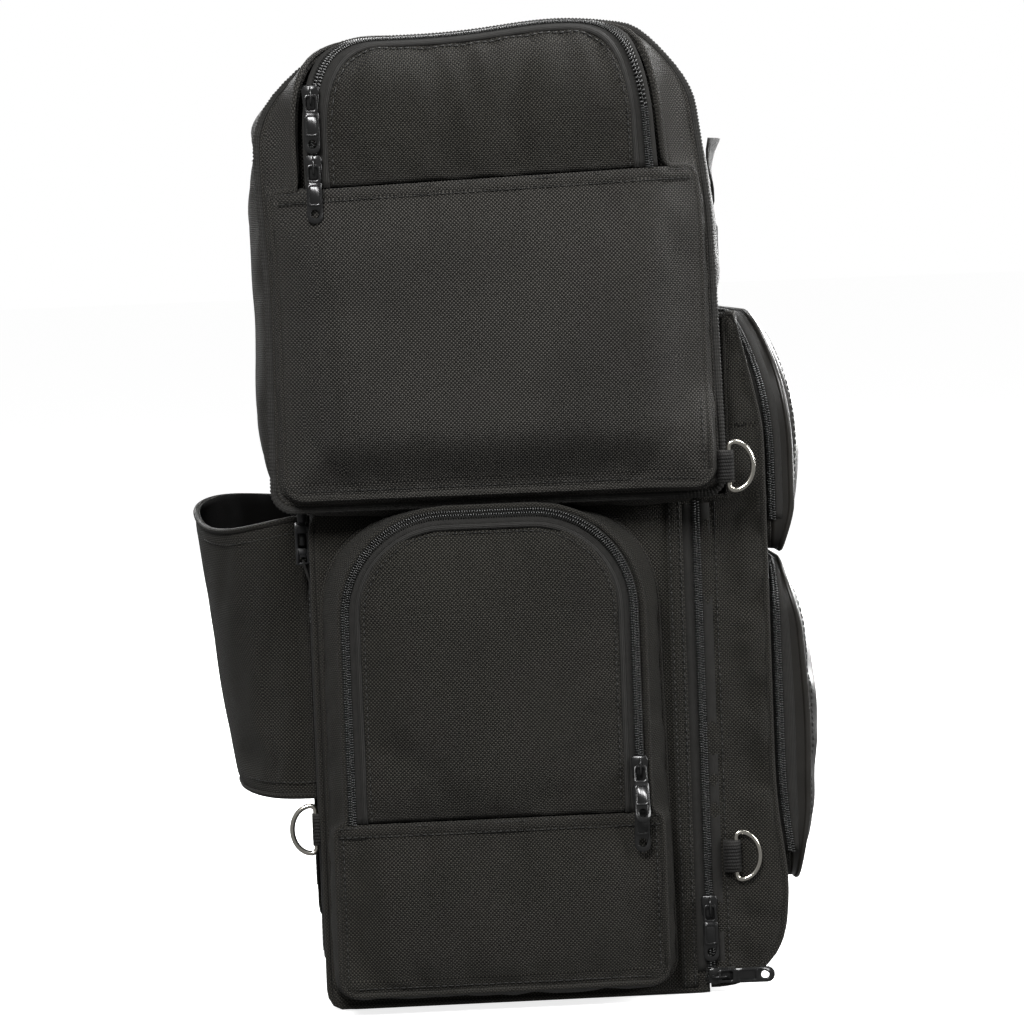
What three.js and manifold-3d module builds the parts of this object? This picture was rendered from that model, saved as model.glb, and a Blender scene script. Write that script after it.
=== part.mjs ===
// Two-piece motorcycle tail bag: a tall main bag that stands on a luggage rack and slips over a sissy bar,
// and a roll bag that is buckled into the step on its roof.
// Millimetres, +Z up. The front, with its two pockets, faces -Y, and the sissy bar sleeve faces +Y.
// Left is -X. The origin is on the ground at the middle of the bag's footprint.
import * as THREE from "three";
import { mergeVertices } from "three/addons/utils/BufferGeometryUtils.js";
import Module from "manifold-3d";

const wasm = await Module();
wasm.setup();

// ---- driving dimensions ----
const GAP = 0.3; // between pieces that touch
const WALL = 4; // padded nylon wall
const FLAP_GAP = 0.6; // round a flap in its opening
const PANEL = 5; // face panel of a pocket

const MAIN = { half: 175, front: -120, back: 118, top: 312, round: 12 };
const BOARD = { thick: 3, half: 165, top: 300 };

const DOOR = { rear: -121, front: -164, bottom: 5, top: 425, shelf: 311, ledge: -142, round: 30 };

const SIDE_POCKET = {
  depth: 34.7,
  rear: 111,
  front: -91,
  bottom: 14,
  panelTop: 120,
  inset: 7,
  top: 306,
  round: 66,
  flapRear: 94,
  flapFront: -71,
  flapTop: 296,
};

const ROLL = {
  half: 200,
  bottom: 315,
  top: 600,
  frontLow: -137,
  frontHigh: -131,
  rearLow: 145,
  rearHigh: 141,
  roundFront: 48,
  roundRear: 66,
  roundLow: 12,
};
const LID = { half: 150, front: -70, rear: 62, round: 16 };
const END_POCKET = {
  depth: 27.7,
  rear: 141,
  front: -132,
  bottom: 318,
  panelTop: 513,
  upperRear: 120,
  upperFront: -108,
  top: 596,
  round: 45,
  flapRear: 102,
  flapFront: -90,
  flapTop: 587,
  flapRound: 38,
};

const FRONT_FACE = -187.5; // outer face of both front pockets
const POCKET_SPLIT = -172; // where the zip joins the pouch and its cover
const POCKET_WALL = 3;
const UPPER_POCKET = { half: 160, bottom: 275, top: 424, roundTop: 70, roundLow: 16 };
const LOWER_POCKET = { half: 165, bottom: 66, top: 268, roundTop: 34, roundLow: 30 };

const SLEEVE = { half: 110, flange: 122, wall: 3, bottom: 126, top: 306, outLow: 49, outHigh: 69.2 };

const WEBBING = { width: 25, thick: 2 };
const BUCKLE = { half: 14, thick: 9, socket: 25.7, plug: 11, prong: 18, cavity: 11, shell: 2 };
const FRONT_BUCKLE = { x: 110, y: -142.5, z: 455.3 };
const REAR_BUCKLE = { x: 140, y: 123.5, z: 277.3 };

const RING = { radius: 14.9, wire: 1.6, hole: 2.1, tab: 20, cheek: 3 };
const DOOR_RING = { x: 178.4, y: -139, z: 86 };
const REAR_RING = { x: 166, y: 122.4, z: 113 };
const ROLL_RING = { x: 213, y: -139, z: 332 };

const SLIDER = { width: 11, length: 16, thick: 4, archHalf: 1.7, archLow: -3, archHigh: 6, archTop: 8.3 };
const PULL = { height: 5.6, along: 1.5, half: 5, holeHalf: 2.7, hole: 9.5, length: 35, bar: 1.4, thick: 1.4, eye: 2.2 };

// ---- materials ----
const FINISH = {
  nylon: { color: 0x1b1a18, roughness: 0.85, metalness: 0 },
  vinyl: { color: 0x1a1918, roughness: 0.35, metalness: 0 },
  webbing: { color: 0x161616, roughness: 0.8, metalness: 0 },
  plastic: { color: 0x1d1e20, roughness: 0.4, metalness: 0 },
  board: { color: 0x3a3a3c, roughness: 0.6, metalness: 0 },
  blackMetal: { color: 0x141414, roughness: 0.3, metalness: 0.8 },
  nickel: { color: 0xc8c4bc, roughness: 0.2, metalness: 1 },
};

const bag = new THREE.Group();

// ---- solids ----
function solid(geometry) {
  const bare = geometry.index ? geometry.toNonIndexed() : geometry.clone();
  bare.deleteAttribute("normal");
  bare.deleteAttribute("uv");
  const merged = mergeVertices(bare, 1e-4);
  return new wasm.Manifold(
    new wasm.Mesh({
      numProp: 3,
      vertProperties: merged.attributes.position.array,
      triVerts: new Uint32Array(merged.index.array),
    }),
  );
}

function geometryOf(shape) {
  const mesh = shape.getMesh();
  const geometry = new THREE.BufferGeometry();
  geometry.setAttribute("position", new THREE.BufferAttribute(mesh.vertProperties, 3));
  geometry.setIndex(new THREE.BufferAttribute(mesh.triVerts, 1));
  geometry.computeVertexNormals();
  return geometry;
}

function add(name, shape, finish, place = {}) {
  const mesh = new THREE.Mesh(geometryOf(shape), new THREE.MeshStandardMaterial(FINISH[finish]));
  mesh.name = name;
  if (place.at) mesh.position.set(...place.at);
  if (place.basis) mesh.quaternion.setFromRotationMatrix(place.basis);
  bag.add(mesh);
}

function extruded(outline, depth, curveSegments) {
  return new THREE.ExtrudeGeometry(outline, { depth, bevelEnabled: false, curveSegments });
}

// An outline in Y and Z, swept from x0 to x1.
function alongX(outline, x0, x1, curveSegments = 4) {
  const turn = new THREE.Matrix4().makeBasis(
    new THREE.Vector3(0, 1, 0),
    new THREE.Vector3(0, 0, 1),
    new THREE.Vector3(1, 0, 0),
  );
  return solid(extruded(outline, x1 - x0, curveSegments).applyMatrix4(turn).translate(x0, 0, 0));
}

// An outline in X and Z, swept from y0 to y1.
function alongY(outline, y0, y1, curveSegments = 4) {
  return solid(extruded(outline, y1 - y0, curveSegments).rotateX(Math.PI / 2).translate(0, y1, 0));
}

// An outline in X and Y, swept from z0 to z1.
function alongZ(outline, z0, z1, curveSegments = 4) {
  return solid(extruded(outline, z1 - z0, curveSegments).translate(0, 0, z0));
}

function box(x0, x1, y0, y1, z0, z1) {
  const middle = [(x0 + x1) / 2, (y0 + y1) / 2, (z0 + z1) / 2];
  return solid(new THREE.BoxGeometry(x1 - x0, y1 - y0, z1 - z0).translate(...middle));
}

// A round rod along Z.
function rod(radius, length, at, sides = 10) {
  const geometry = new THREE.CylinderGeometry(radius, radius, length, sides);
  return solid(geometry.rotateX(Math.PI / 2).translate(...at));
}

function together(pieces) {
  return pieces.reduce((whole, piece) => whole.add(piece));
}

// A closed outline through corners [a, b, radius], with an arc at each corner that has a radius.
function rounded(corners) {
  const outline = new THREE.Shape();
  corners.forEach(([a, b, radius = 0], i) => {
    const here = new THREE.Vector2(a, b);
    const [pa, pb] = corners[(i + corners.length - 1) % corners.length];
    const [na, nb] = corners[(i + 1) % corners.length];
    const before = new THREE.Vector2(pa, pb).sub(here).normalize();
    const after = new THREE.Vector2(na, nb).sub(here).normalize();
    const half = Math.acos(THREE.MathUtils.clamp(before.dot(after), -1, 1)) / 2;
    const back = radius / Math.tan(half);
    const start = here.clone().addScaledVector(before, back);
    const end = here.clone().addScaledVector(after, back);
    if (i === 0) outline.moveTo(start.x, start.y);
    else outline.lineTo(start.x, start.y);
    if (!radius) return;
    const centre = here.clone().add(before.add(after).normalize().multiplyScalar(radius / Math.sin(half)));
    const from = Math.atan2(start.y - centre.y, start.x - centre.x);
    const to = Math.atan2(end.y - centre.y, end.x - centre.x);
    const clockwise = (start.x - centre.x) * (end.y - centre.y) < (start.y - centre.y) * (end.x - centre.x);
    outline.absarc(centre.x, centre.y, radius, from, to, clockwise);
  });
  outline.closePath();
  return outline;
}

// An upright panel outline from a0 to a1 across and b0 to b1 up, with round top corners.
function arch(a0, a1, b0, b1, round, roundLow = 0) {
  return rounded([
    [a0, b0, roundLow],
    [a1, b0, roundLow],
    [a1, b1, round],
    [a0, b1, round],
  ]);
}

// A solid through sections of equally many points, closed by a flat cap at each end.
function loft(sections, capShape) {
  const count = sections[0].length;
  const points = sections.flat();
  const faces = [];
  for (let s = 0; s + 1 < sections.length; s++) {
    for (let i = 0; i < count; i++) {
      const j = (i + 1) % count;
      const [a, b] = [s * count + i, s * count + j];
      faces.push(a, b, b + count, a, b + count, a + count);
    }
  }
  const cap = THREE.ShapeUtils.triangulateShape(capShape, []);
  const last = (sections.length - 1) * count;
  cap.forEach(([a, b, c]) => faces.push(c, b, a, last + a, last + b, last + c));
  const geometry = new THREE.BufferGeometry().setFromPoints(points);
  geometry.setIndex(faces);
  return solid(geometry);
}

const SIDES = [
  { name: "left", sign: -1 },
  { name: "right", sign: 1 },
];

// The part of a side's solid between two distances from the middle of the bag.
function sideSweep(outline, sign, near, far, curveSegments) {
  const [x0, x1] = sign < 0 ? [-far, -near] : [near, far];
  return alongX(outline, x0, x1, curveSegments);
}

// ---- D-rings and their webbing tabs ----
// A ring in the YZ plane at its bar's middle: the bar runs along Z and the bow points along bow * Y.
function dRing(bow) {
  const torus = new THREE.TorusGeometry(RING.radius, RING.wire, 8, 20).rotateY(Math.PI / 2);
  const reach = RING.radius + RING.wire + 1;
  const [y0, y1] = bow < 0 ? [-reach, 0] : [0, reach];
  const half = solid(torus).intersect(box(-reach, reach, y0, y1, -reach, reach));
  return half.add(rod(RING.wire, 2 * (RING.radius + RING.wire), [0, 0, 0]));
}

// A webbing loop round a ring's bar, reaching back along Y or X to the cloth that it is sewn to.
function ringTab(x, y, z, [x0, x1], [y0, y1]) {
  const block = box(x0, x1, y0, y1, z - RING.tab / 2, z + RING.tab / 2);
  return block.subtract(rod(RING.hole, RING.tab + 2, [x, y, z]));
}

function addRing(name, at, bow) {
  add(name, dRing(bow), "nickel", { at });
}

// ---- zip sliders and their pulls ----
// Both are drawn with X across the zip, Y along it and Z out of the cloth.
function sliderShape() {
  const { width, length, thick, archHalf, archLow, archHigh, archTop } = SLIDER;
  const nose = rounded([
    [-width / 2 + 2, -length / 2, 1.5],
    [width / 2 - 2, -length / 2, 1.5],
    [width / 2, length / 2, 2.5],
    [-width / 2, length / 2, 2.5],
  ]);
  const post = 2;
  return together([
    alongZ(nose, GAP, thick + GAP, 2),
    box(-archHalf, archHalf, archLow, archLow + post, thick, archTop),
    box(-archHalf, archHalf, archHigh - post, archHigh, thick, archTop),
    box(-archHalf, archHalf, archLow, archHigh, archTop - 1.4, archTop),
  ]);
}

// The pull hangs from a crossbar under the slider's arch. Its origin is the middle of the crossbar.
function pullShape() {
  const { bar, half, holeHalf, hole, length, thick, eye } = PULL;
  const plate = rounded([
    [-half, -length, 4],
    [half, -length, 4],
    [half, bar / 2, 0],
    [-half, bar / 2, 0],
  ]);
  return alongZ(plate, -thick / 2, thick / 2, 3)
    .subtract(box(-holeHalf, holeHalf, -hole, -bar / 2, -thick, thick))
    .subtract(rod(eye, 2 * thick, [0, -length + 6.5, 0], 8));
}

// A slider and its pull on the cloth at a point, with the zip running along `along` and the cloth facing `out`.
// A pull that lies over the next slider is lifted by `lift` degrees.
function addSlider(name, at, along, out, lift = 0) {
  const v = new THREE.Vector3(...along);
  const n = new THREE.Vector3(...out);
  const basis = new THREE.Matrix4().makeBasis(v.clone().cross(n), v, n);
  const pivot = new THREE.Vector3(...at).addScaledVector(v, PULL.along).addScaledVector(n, PULL.height);
  add(`${name}_slider`, sliderShape(), "blackMetal", { at, basis });
  const raised = basis.clone().multiply(new THREE.Matrix4().makeRotationX(-THREE.MathUtils.degToRad(lift)));
  add(`${name}_pull`, pullShape(), "blackMetal", { at: pivot.toArray(), basis: raised });
}

// ---- main bag ----
function mainShell() {
  const { half, front, back, top, round } = MAIN;
  const outer = rounded([
    [front, 0],
    [back, 0, round],
    [back, top, round],
    [front, top],
  ]);
  const inner = rounded([
    [front - 1, WALL],
    [back - WALL, WALL, round - WALL],
    [back - WALL, top - WALL, round - WALL],
    [front - 1, top - WALL],
  ]);
  let shell = alongX(outer, -half, half).subtract(alongX(inner, -half + WALL, half - WALL));
  for (const { sign } of SIDES) {
    const x = sign * REAR_RING.x;
    const { y, z } = REAR_RING;
    shell = shell.add(ringTab(x, y, z, [x - RING.cheek, x + RING.cheek], [back - 0.5, y + RING.cheek]));
  }
  return shell;
}

// One folded sheet that stiffens the back and the base from inside.
function stiffenerBoard() {
  const { thick, half, top } = BOARD;
  const back = MAIN.back - WALL - GAP;
  const base = WALL + GAP;
  const round = MAIN.round - WALL;
  const outline = rounded([
    [MAIN.front + 8, base],
    [back, base, round],
    [back, top],
    [back - thick, top],
    [back - thick, base + thick, round - thick],
    [MAIN.front + 8, base + thick],
  ]);
  return alongX(outline, -half, half);
}

// A tapering half-round band, sewn down at both sides and open at both ends.
function sissyBarSleeve() {
  const { half, flange, wall, bottom, top, outLow, outHigh } = SLEEVE;
  const steps = 14;
  const face = MAIN.back + GAP;
  const sectionAt = (out) => {
    const outer = [];
    const inner = [];
    for (let i = 0; i <= steps; i++) {
      const turn = (Math.PI * i) / steps;
      const swell = Math.sin(turn) ** 0.7;
      outer.push([half * Math.cos(turn), wall + (out - wall) * swell]);
      inner.push([(half - wall) * Math.cos(turn), (out - wall) * swell]);
    }
    const leaf = [[flange, 0], [flange, wall], ...outer, [-flange, wall], [-flange, 0]];
    return [...leaf, ...inner.reverse()];
  };
  const low = sectionAt(outLow);
  const high = sectionAt(outHigh);
  const lift = (points, z) => points.map(([x, y]) => new THREE.Vector3(x, face + y, z));
  const flat = low.map(([x, y]) => new THREE.Vector2(x, y));
  return loft([lift(low, bottom), lift(high, top)], flat);
}

// A pouch of a side gusset and a face, open at the back and where its flap fits.
function pouch(outline, inner, opening, sign, root, depth) {
  const face = root + depth;
  return sideSweep(outline, sign, root, face)
    .subtract(sideSweep(inner, sign, root - 1, face - PANEL))
    .subtract(sideSweep(opening, sign, root, face + 1));
}

// The outline of a pocket with a full-width lower panel and a narrower arched top.
function shoulderedOutline(low, high, bottom, shoulder, top, round) {
  return rounded([
    [low[0], bottom, 10],
    [low[1], bottom, 10],
    [low[1], shoulder, 4],
    [high[1], shoulder + 1],
    [high[1], top, round],
    [high[0], top, round],
    [high[0], shoulder + 1],
    [low[0], shoulder, 4],
  ]);
}

function sidePocket(sign) {
  const p = SIDE_POCKET;
  const outline = (d) =>
    shoulderedOutline(
      [p.front + d, p.rear - d],
      [p.front + p.inset + d, p.rear - p.inset - d],
      p.bottom + d,
      p.panelTop - d,
      p.top - d,
      p.round - d,
    );
  const opening = arch(p.flapFront, p.flapRear, p.panelTop, p.flapTop, p.round - 10);
  return pouch(outline(0), outline(WALL), opening, sign, MAIN.half + GAP, p.depth);
}

function sideFlap(sign) {
  const p = SIDE_POCKET;
  const g = FLAP_GAP;
  const outline = arch(p.flapFront + g, p.flapRear - g, p.panelTop + g, p.flapTop - g, p.round - 10 - g);
  const face = MAIN.half + GAP + p.depth;
  return sideSweep(outline, sign, face - PANEL, face);
}

function addMainBag() {
  add("main_shell", mainShell(), "nylon");
  add("stiffener_board", stiffenerBoard(), "board");
  add("sissy_bar_sleeve", sissyBarSleeve(), "nylon");
  for (const { name, sign } of SIDES) {
    add(`side_pocket_${name}`, sidePocket(sign), "nylon");
    add(`side_flap_${name}`, sideFlap(sign), "nylon");
    addRing(`rear_ring_${name}`, [sign * REAR_RING.x, REAR_RING.y, REAR_RING.z], 1);
  }
}

// ---- front door and its pockets ----
function frontDoor() {
  const { rear, front, bottom, top, shelf, ledge, round } = DOOR;
  const outer = rounded([
    [rear, bottom],
    [rear, shelf],
    [ledge, shelf],
    [ledge, top, 4],
    [front + 7, top, 8],
    [front, top - 70, 30],
    [front, bottom, round],
  ]);
  const inner = rounded([
    [rear + 1, bottom + WALL],
    [rear + 1, shelf - WALL],
    [ledge - WALL, shelf - WALL],
    [ledge - WALL, top - WALL],
    [front + 7 + WALL, top - WALL],
    [front + WALL, top - 70],
    [front + WALL, bottom + WALL, round - WALL],
  ]);
  let door = alongX(outer, -MAIN.half, MAIN.half).subtract(
    alongX(inner, -MAIN.half + WALL, MAIN.half - WALL),
  );
  for (const { sign } of SIDES) {
    const { x, y, z } = DOOR_RING;
    const across = [sign * (MAIN.half - 0.5), sign * (x + RING.cheek)].sort((a, b) => a - b);
    door = door.add(ringTab(sign * x, y, z, across, [y - RING.cheek, y + RING.cheek]));
  }
  return door;
}

function pocketOutline({ half, bottom, top, roundTop, roundLow }, inset) {
  const low = Math.max(roundLow - inset, 0);
  return arch(-half + inset, half - inset, bottom + inset, top - inset, roundTop - inset, low);
}

// The band of gusset sewn to the door behind the zip.
function frontPouch(pocket) {
  return alongY(pocketOutline(pocket, 0), POCKET_SPLIT, DOOR.front - GAP).subtract(
    alongY(pocketOutline(pocket, POCKET_WALL), POCKET_SPLIT - 1, DOOR.front),
  );
}

// The face and the band of gusset in front of the zip.
function frontCover(pocket) {
  return alongY(pocketOutline(pocket, 0), FRONT_FACE, POCKET_SPLIT - GAP).subtract(
    alongY(pocketOutline(pocket, POCKET_WALL), FRONT_FACE + POCKET_WALL, POCKET_SPLIT),
  );
}

function addDoor() {
  add("front_door", frontDoor(), "nylon");
  for (const [name, pocket] of [
    ["upper_pocket", UPPER_POCKET],
    ["lower_pocket", LOWER_POCKET],
  ]) {
    add(name, frontPouch(pocket), "nylon");
    add(`${name}_cover`, frontCover(pocket), "vinyl");
  }
  for (const { name, sign } of SIDES) {
    addRing(`door_ring_${name}`, [sign * DOOR_RING.x, DOOR_RING.y, DOOR_RING.z], -1);
  }
}

// ---- roll bag ----
function rollOutline(inset) {
  const r = ROLL;
  return rounded([
    [r.frontLow + inset, r.bottom + inset, r.roundLow - inset],
    [r.rearLow - inset, r.bottom + inset, r.roundLow - inset],
    [r.rearHigh - inset, r.top - inset, r.roundRear - inset],
    [r.frontHigh + inset, r.top - inset, r.roundFront - inset],
  ]);
}

function lidOutline(inset) {
  return arch(
    -LID.half + inset,
    LID.half - inset,
    LID.front + inset,
    LID.rear - inset,
    LID.round - inset,
    LID.round - inset,
  );
}

function rollShell() {
  return alongX(rollOutline(0), -ROLL.half, ROLL.half)
    .subtract(alongX(rollOutline(WALL), -ROLL.half + WALL, ROLL.half - WALL))
    .subtract(alongZ(lidOutline(0), ROLL.top - WALL - 2, ROLL.top + 1, 4));
}

function endPocket(sign) {
  const p = END_POCKET;
  const outline = (d) =>
    shoulderedOutline(
      [p.front + d, p.rear - d],
      [p.upperFront + d, p.upperRear - d],
      p.bottom + d,
      p.panelTop - d,
      p.top - d,
      p.round - d,
    );
  const opening = arch(p.flapFront, p.flapRear, p.panelTop, p.flapTop, p.flapRound);
  const shell = pouch(outline(0), outline(WALL), opening, sign, ROLL.half + GAP, p.depth);
  const { x, y, z } = ROLL_RING;
  const across = [sign * x - RING.cheek, sign * x + RING.cheek];
  return shell.add(ringTab(sign * x, y, z, across, [y - RING.cheek, p.front + 0.5]));
}

function endFlap(sign) {
  const p = END_POCKET;
  const g = FLAP_GAP;
  const outline = arch(p.flapFront + g, p.flapRear - g, p.panelTop + g, p.flapTop - g, p.flapRound - g);
  const face = ROLL.half + GAP + p.depth;
  return sideSweep(outline, sign, face - PANEL, face);
}

function addRollBag() {
  add("roll_shell", rollShell(), "nylon");
  add("roll_lid", alongZ(lidOutline(FLAP_GAP), ROLL.top - WALL, ROLL.top, 4), "nylon");
  for (const { name, sign } of SIDES) {
    add(`end_pocket_${name}`, endPocket(sign), "nylon");
    add(`end_flap_${name}`, endFlap(sign), "nylon");
    addRing(`roll_ring_${name}`, [sign * ROLL_RING.x, ROLL_RING.y, ROLL_RING.z], -1);
  }
}

// ---- straps and side-release buckles ----
// A socket with its mouth up, its lowest face at z = 0 and its middle at the origin across.
function socketShape() {
  const { half, thick, socket, cavity, shell } = BUCKLE;
  const body = alongY(arch(-half, half, 0, socket, 2, 5), -thick / 2, thick / 2, 3);
  const inside = thick / 2 - shell;
  return body.subtract(box(-cavity, cavity, -inside, inside, 5, socket + 1));
}

// The plug's three prongs reach down into the socket. Its shoulder rests 0.6 mm above the socket's mouth.
function plugShape() {
  const { half, thick, socket, plug, prong } = BUCKLE;
  const shoulder = socket + FLAP_GAP;
  const prongs = [-8, 0, 8].map((x) => box(x - 1.6, x + 1.6, -1.7, 1.7, shoulder - prong, shoulder + 1));
  const body = alongY(arch(-half, half, shoulder, shoulder + plug, 4, 2), -thick / 2, thick / 2, 3);
  return together([body, ...prongs]);
}

// The lower front strap runs forward over the roof and up behind the door's ledge.
function lowerFrontStrap() {
  const { thick } = WEBBING;
  const low = MAIN.top + GAP;
  const outer = DOOR.ledge + 1.5;
  return rounded([
    [-60, low],
    [outer, low, 2.5],
    [outer, FRONT_BUCKLE.z - GAP],
    [outer + thick, FRONT_BUCKLE.z - GAP],
    [outer + thick, low + thick],
    [-60, low + thick],
  ]);
}

// The upper front strap is sewn high on the roll bag's front, and its free end stands up from the plug.
function upperFrontStrap() {
  const { thick } = WEBBING;
  const low = FRONT_BUCKLE.z + BUCKLE.socket + FLAP_GAP + BUCKLE.plug + GAP;
  const lean = (ROLL.frontHigh - ROLL.frontLow) / (ROLL.top - ROLL.bottom);
  const front = (z) => ROLL.frontLow + lean * (z - ROLL.bottom) - 0.8;
  const sewn = 545;
  const tail = 528;
  return rounded([
    [front(low), low],
    [front(sewn), sewn],
    [front(sewn) - thick, sewn],
    [front(low) - thick, low + 6],
    [-144, low + 5],
    [-150, tail],
    [-150 - thick, tail],
    [-146.5, low],
  ]);
}

function addStraps() {
  const half = WEBBING.width / 2;
  for (const { name, sign } of SIDES) {
    const front = sign * FRONT_BUCKLE.x;
    const rear = sign * REAR_BUCKLE.x;
    const frontAt = [front, FRONT_BUCKLE.y, FRONT_BUCKLE.z];
    const rearAt = [rear, REAR_BUCKLE.y, REAR_BUCKLE.z];
    add(`front_strap_lower_${name}`, alongX(lowerFrontStrap(), front - half, front + half), "webbing");
    add(`front_strap_upper_${name}`, alongX(upperFrontStrap(), front - half, front + half), "webbing");
    add(`front_socket_${name}`, socketShape(), "plastic", { at: frontAt });
    add(`front_plug_${name}`, plugShape(), "plastic", { at: frontAt });
    add(
      `rear_strap_${name}`,
      box(rear - half, rear + half, MAIN.back + 0.5, MAIN.back + 2.5, 30, REAR_BUCKLE.z - GAP),
      "webbing",
    );
    add(`rear_socket_${name}`, socketShape(), "plastic", { at: rearAt });
    add(`rear_plug_${name}`, plugShape(), "plastic", { at: rearAt });
  }
}

// ---- zips ----
function addZips() {
  const up = [0, 0, 1];
  const left = [-1, 0, 0];
  const right = [1, 0, 0];
  const side = MAIN.half + GAP + SIDE_POCKET.depth;
  const end = ROLL.half + GAP + END_POCKET.depth;
  const sideZip = SIDE_POCKET.flapFront - SLIDER.width / 2 - 1;
  const endZip = END_POCKET.flapRear + SLIDER.width / 2 + 1;
  const pocketZip = POCKET_SPLIT + 1.5;
  addSlider("main_zip_upper", [-MAIN.half, DOOR.rear, 54], up, left);
  addSlider("main_zip_lower", [-MAIN.half, DOOR.rear - 6, 11], [0, 1, 0], left);
  addSlider("side_zip_left_upper", [-side, sideZip, 148], up, left, 17);
  addSlider("side_zip_left_lower", [-side, sideZip, 130], up, left);
  addSlider("side_zip_right", [side, sideZip, 130], up, right);
  addSlider("end_zip_left_upper", [-end, endZip, 565], up, left);
  addSlider("end_zip_left_lower", [-end, endZip, 523], up, left);
  addSlider("end_zip_right", [end, endZip, 523], up, right);
  addSlider("upper_pocket_zip", [UPPER_POCKET.half, pocketZip, 300], up, right);
  addSlider("lower_pocket_zip", [LOWER_POCKET.half, pocketZip, 112], up, right);
  addSlider("roll_zip", [LID.half + SLIDER.width, 30, ROLL.top], [0, 1, 0], [0, 0, 1]);
}

addMainBag();
addDoor();
addRollBag();
addStraps();
addZips();

export default bag;
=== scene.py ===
import math
from types import SimpleNamespace

import bmesh
import bpy
import numpy as np
from mathutils import Matrix, Vector, noise
from mathutils.bvhtree import BVHTree
from mathutils.kdtree import KDTree


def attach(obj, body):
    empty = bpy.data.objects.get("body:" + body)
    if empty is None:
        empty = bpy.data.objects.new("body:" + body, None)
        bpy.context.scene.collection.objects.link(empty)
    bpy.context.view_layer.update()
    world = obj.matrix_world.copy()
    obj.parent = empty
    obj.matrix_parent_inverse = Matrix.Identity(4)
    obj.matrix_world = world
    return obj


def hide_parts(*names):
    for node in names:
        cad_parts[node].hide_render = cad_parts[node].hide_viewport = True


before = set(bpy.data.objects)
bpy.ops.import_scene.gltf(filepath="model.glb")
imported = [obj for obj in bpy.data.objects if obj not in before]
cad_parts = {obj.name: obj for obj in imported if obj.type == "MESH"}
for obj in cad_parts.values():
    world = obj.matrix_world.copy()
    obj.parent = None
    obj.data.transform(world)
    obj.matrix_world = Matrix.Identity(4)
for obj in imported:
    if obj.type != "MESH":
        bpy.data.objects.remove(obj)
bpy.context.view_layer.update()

# Lengths below are in millimetres unless a name says otherwise. Left is -X, and the front faces -Y.
MM = 0.001
SIDES = (("left", -1), ("right", 1))
LEFT, RIGHT, FRONT, BACK, UP = (-1, 0, 0), (1, 0, 0), (0, -1, 0), (0, 1, 0), (0, 0, 1)
SQUARE = ((-1, -1), (1, -1), (1, 1), (-1, 1))


# ---- camera, light and floor ----
AIM = (-0.205, -0.0052, 0.3088)  # metres
VIEW_TURN = -3.3  # degrees from square on to the left side; below 0 is towards the back
VIEW_RISE = 3.65
VIEW_ROLL = -2.17
DISTANCE = 2.615
FOCAL = 149.7


def linked(name, data):
    """A new object in the scene."""
    obj = bpy.data.objects.new(name, data)
    bpy.context.scene.collection.objects.link(obj)
    return obj


def make_camera():
    data = bpy.data.cameras.new("camera")
    data.lens = FOCAL
    data.sensor_width = 36
    camera = linked("camera", data)
    turn, rise = math.radians(VIEW_TURN), math.radians(VIEW_RISE)
    back = Vector((-math.cos(turn) * math.cos(rise), -math.sin(turn) * math.cos(rise), math.sin(rise)))
    facing = (-back).to_track_quat("-Z", "Y").to_matrix()
    roll = Matrix.Rotation(math.radians(VIEW_ROLL), 3, "Z")
    camera.matrix_world = Matrix.Translation(Vector(AIM) + back * DISTANCE) @ (facing @ roll).to_4x4()
    bpy.context.scene.camera = camera


SKY = 0.22
LIGHTS = (  # name, place and aim in metres, size in metres, power in watts
    ("key", (-2.3, 0.6, 1.9), (0, 0, 0.5), 0.8, 86),
    ("fill", (-1.1, -2.7, 1.3), (0, 0, 0.3), 1.1, 60),
    ("top", (0.4, -1.4, 2.6), (0, 0, 0.4), 1.0, 60),
    ("far", (2.5, 0.7, 1.7), (0, 0, 0.3), 1.4, 45),
    ("rim", (2.6, -1.7, 0.9), (0, -0.1, 0.35), 1.5, 85),
)
FLOOR_HALF = 40  # metres
FLOOR_DROP = 0.0005
DOME_RADIUS = 38
FLOOR_GREY, FLOOR_GLOW = 0.85, 0.8


def area_light(name, place, aim, size, power):
    data = bpy.data.lights.new(name, "AREA")
    data.energy = power
    data.size = size
    light = linked(name, data)
    light.location = place
    light.rotation_euler = (Vector(aim) - Vector(place)).to_track_quat("-Z", "Y").to_euler()


def stage_piece(name, mesh, grey, glow):
    """The floor or the backdrop: the camera sees it, and it neither lights nor shows in the object."""
    paint = bpy.data.materials.new(f"{name}_paint")
    paint.use_nodes = True
    shader = paint.node_tree.nodes["Principled BSDF"]
    shader.inputs["Base Color"].default_value = (grey, grey, grey, 1)
    shader.inputs["Roughness"].default_value = 1.0
    shader.inputs["Specular IOR Level"].default_value = 0.0
    shader.inputs["Emission Color"].default_value = (1, 1, 1, 1)
    shader.inputs["Emission Strength"].default_value = glow
    mesh.materials.append(paint)
    piece = linked(name, mesh)
    piece.visible_diffuse = False
    piece.visible_glossy = False
    return piece


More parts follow.
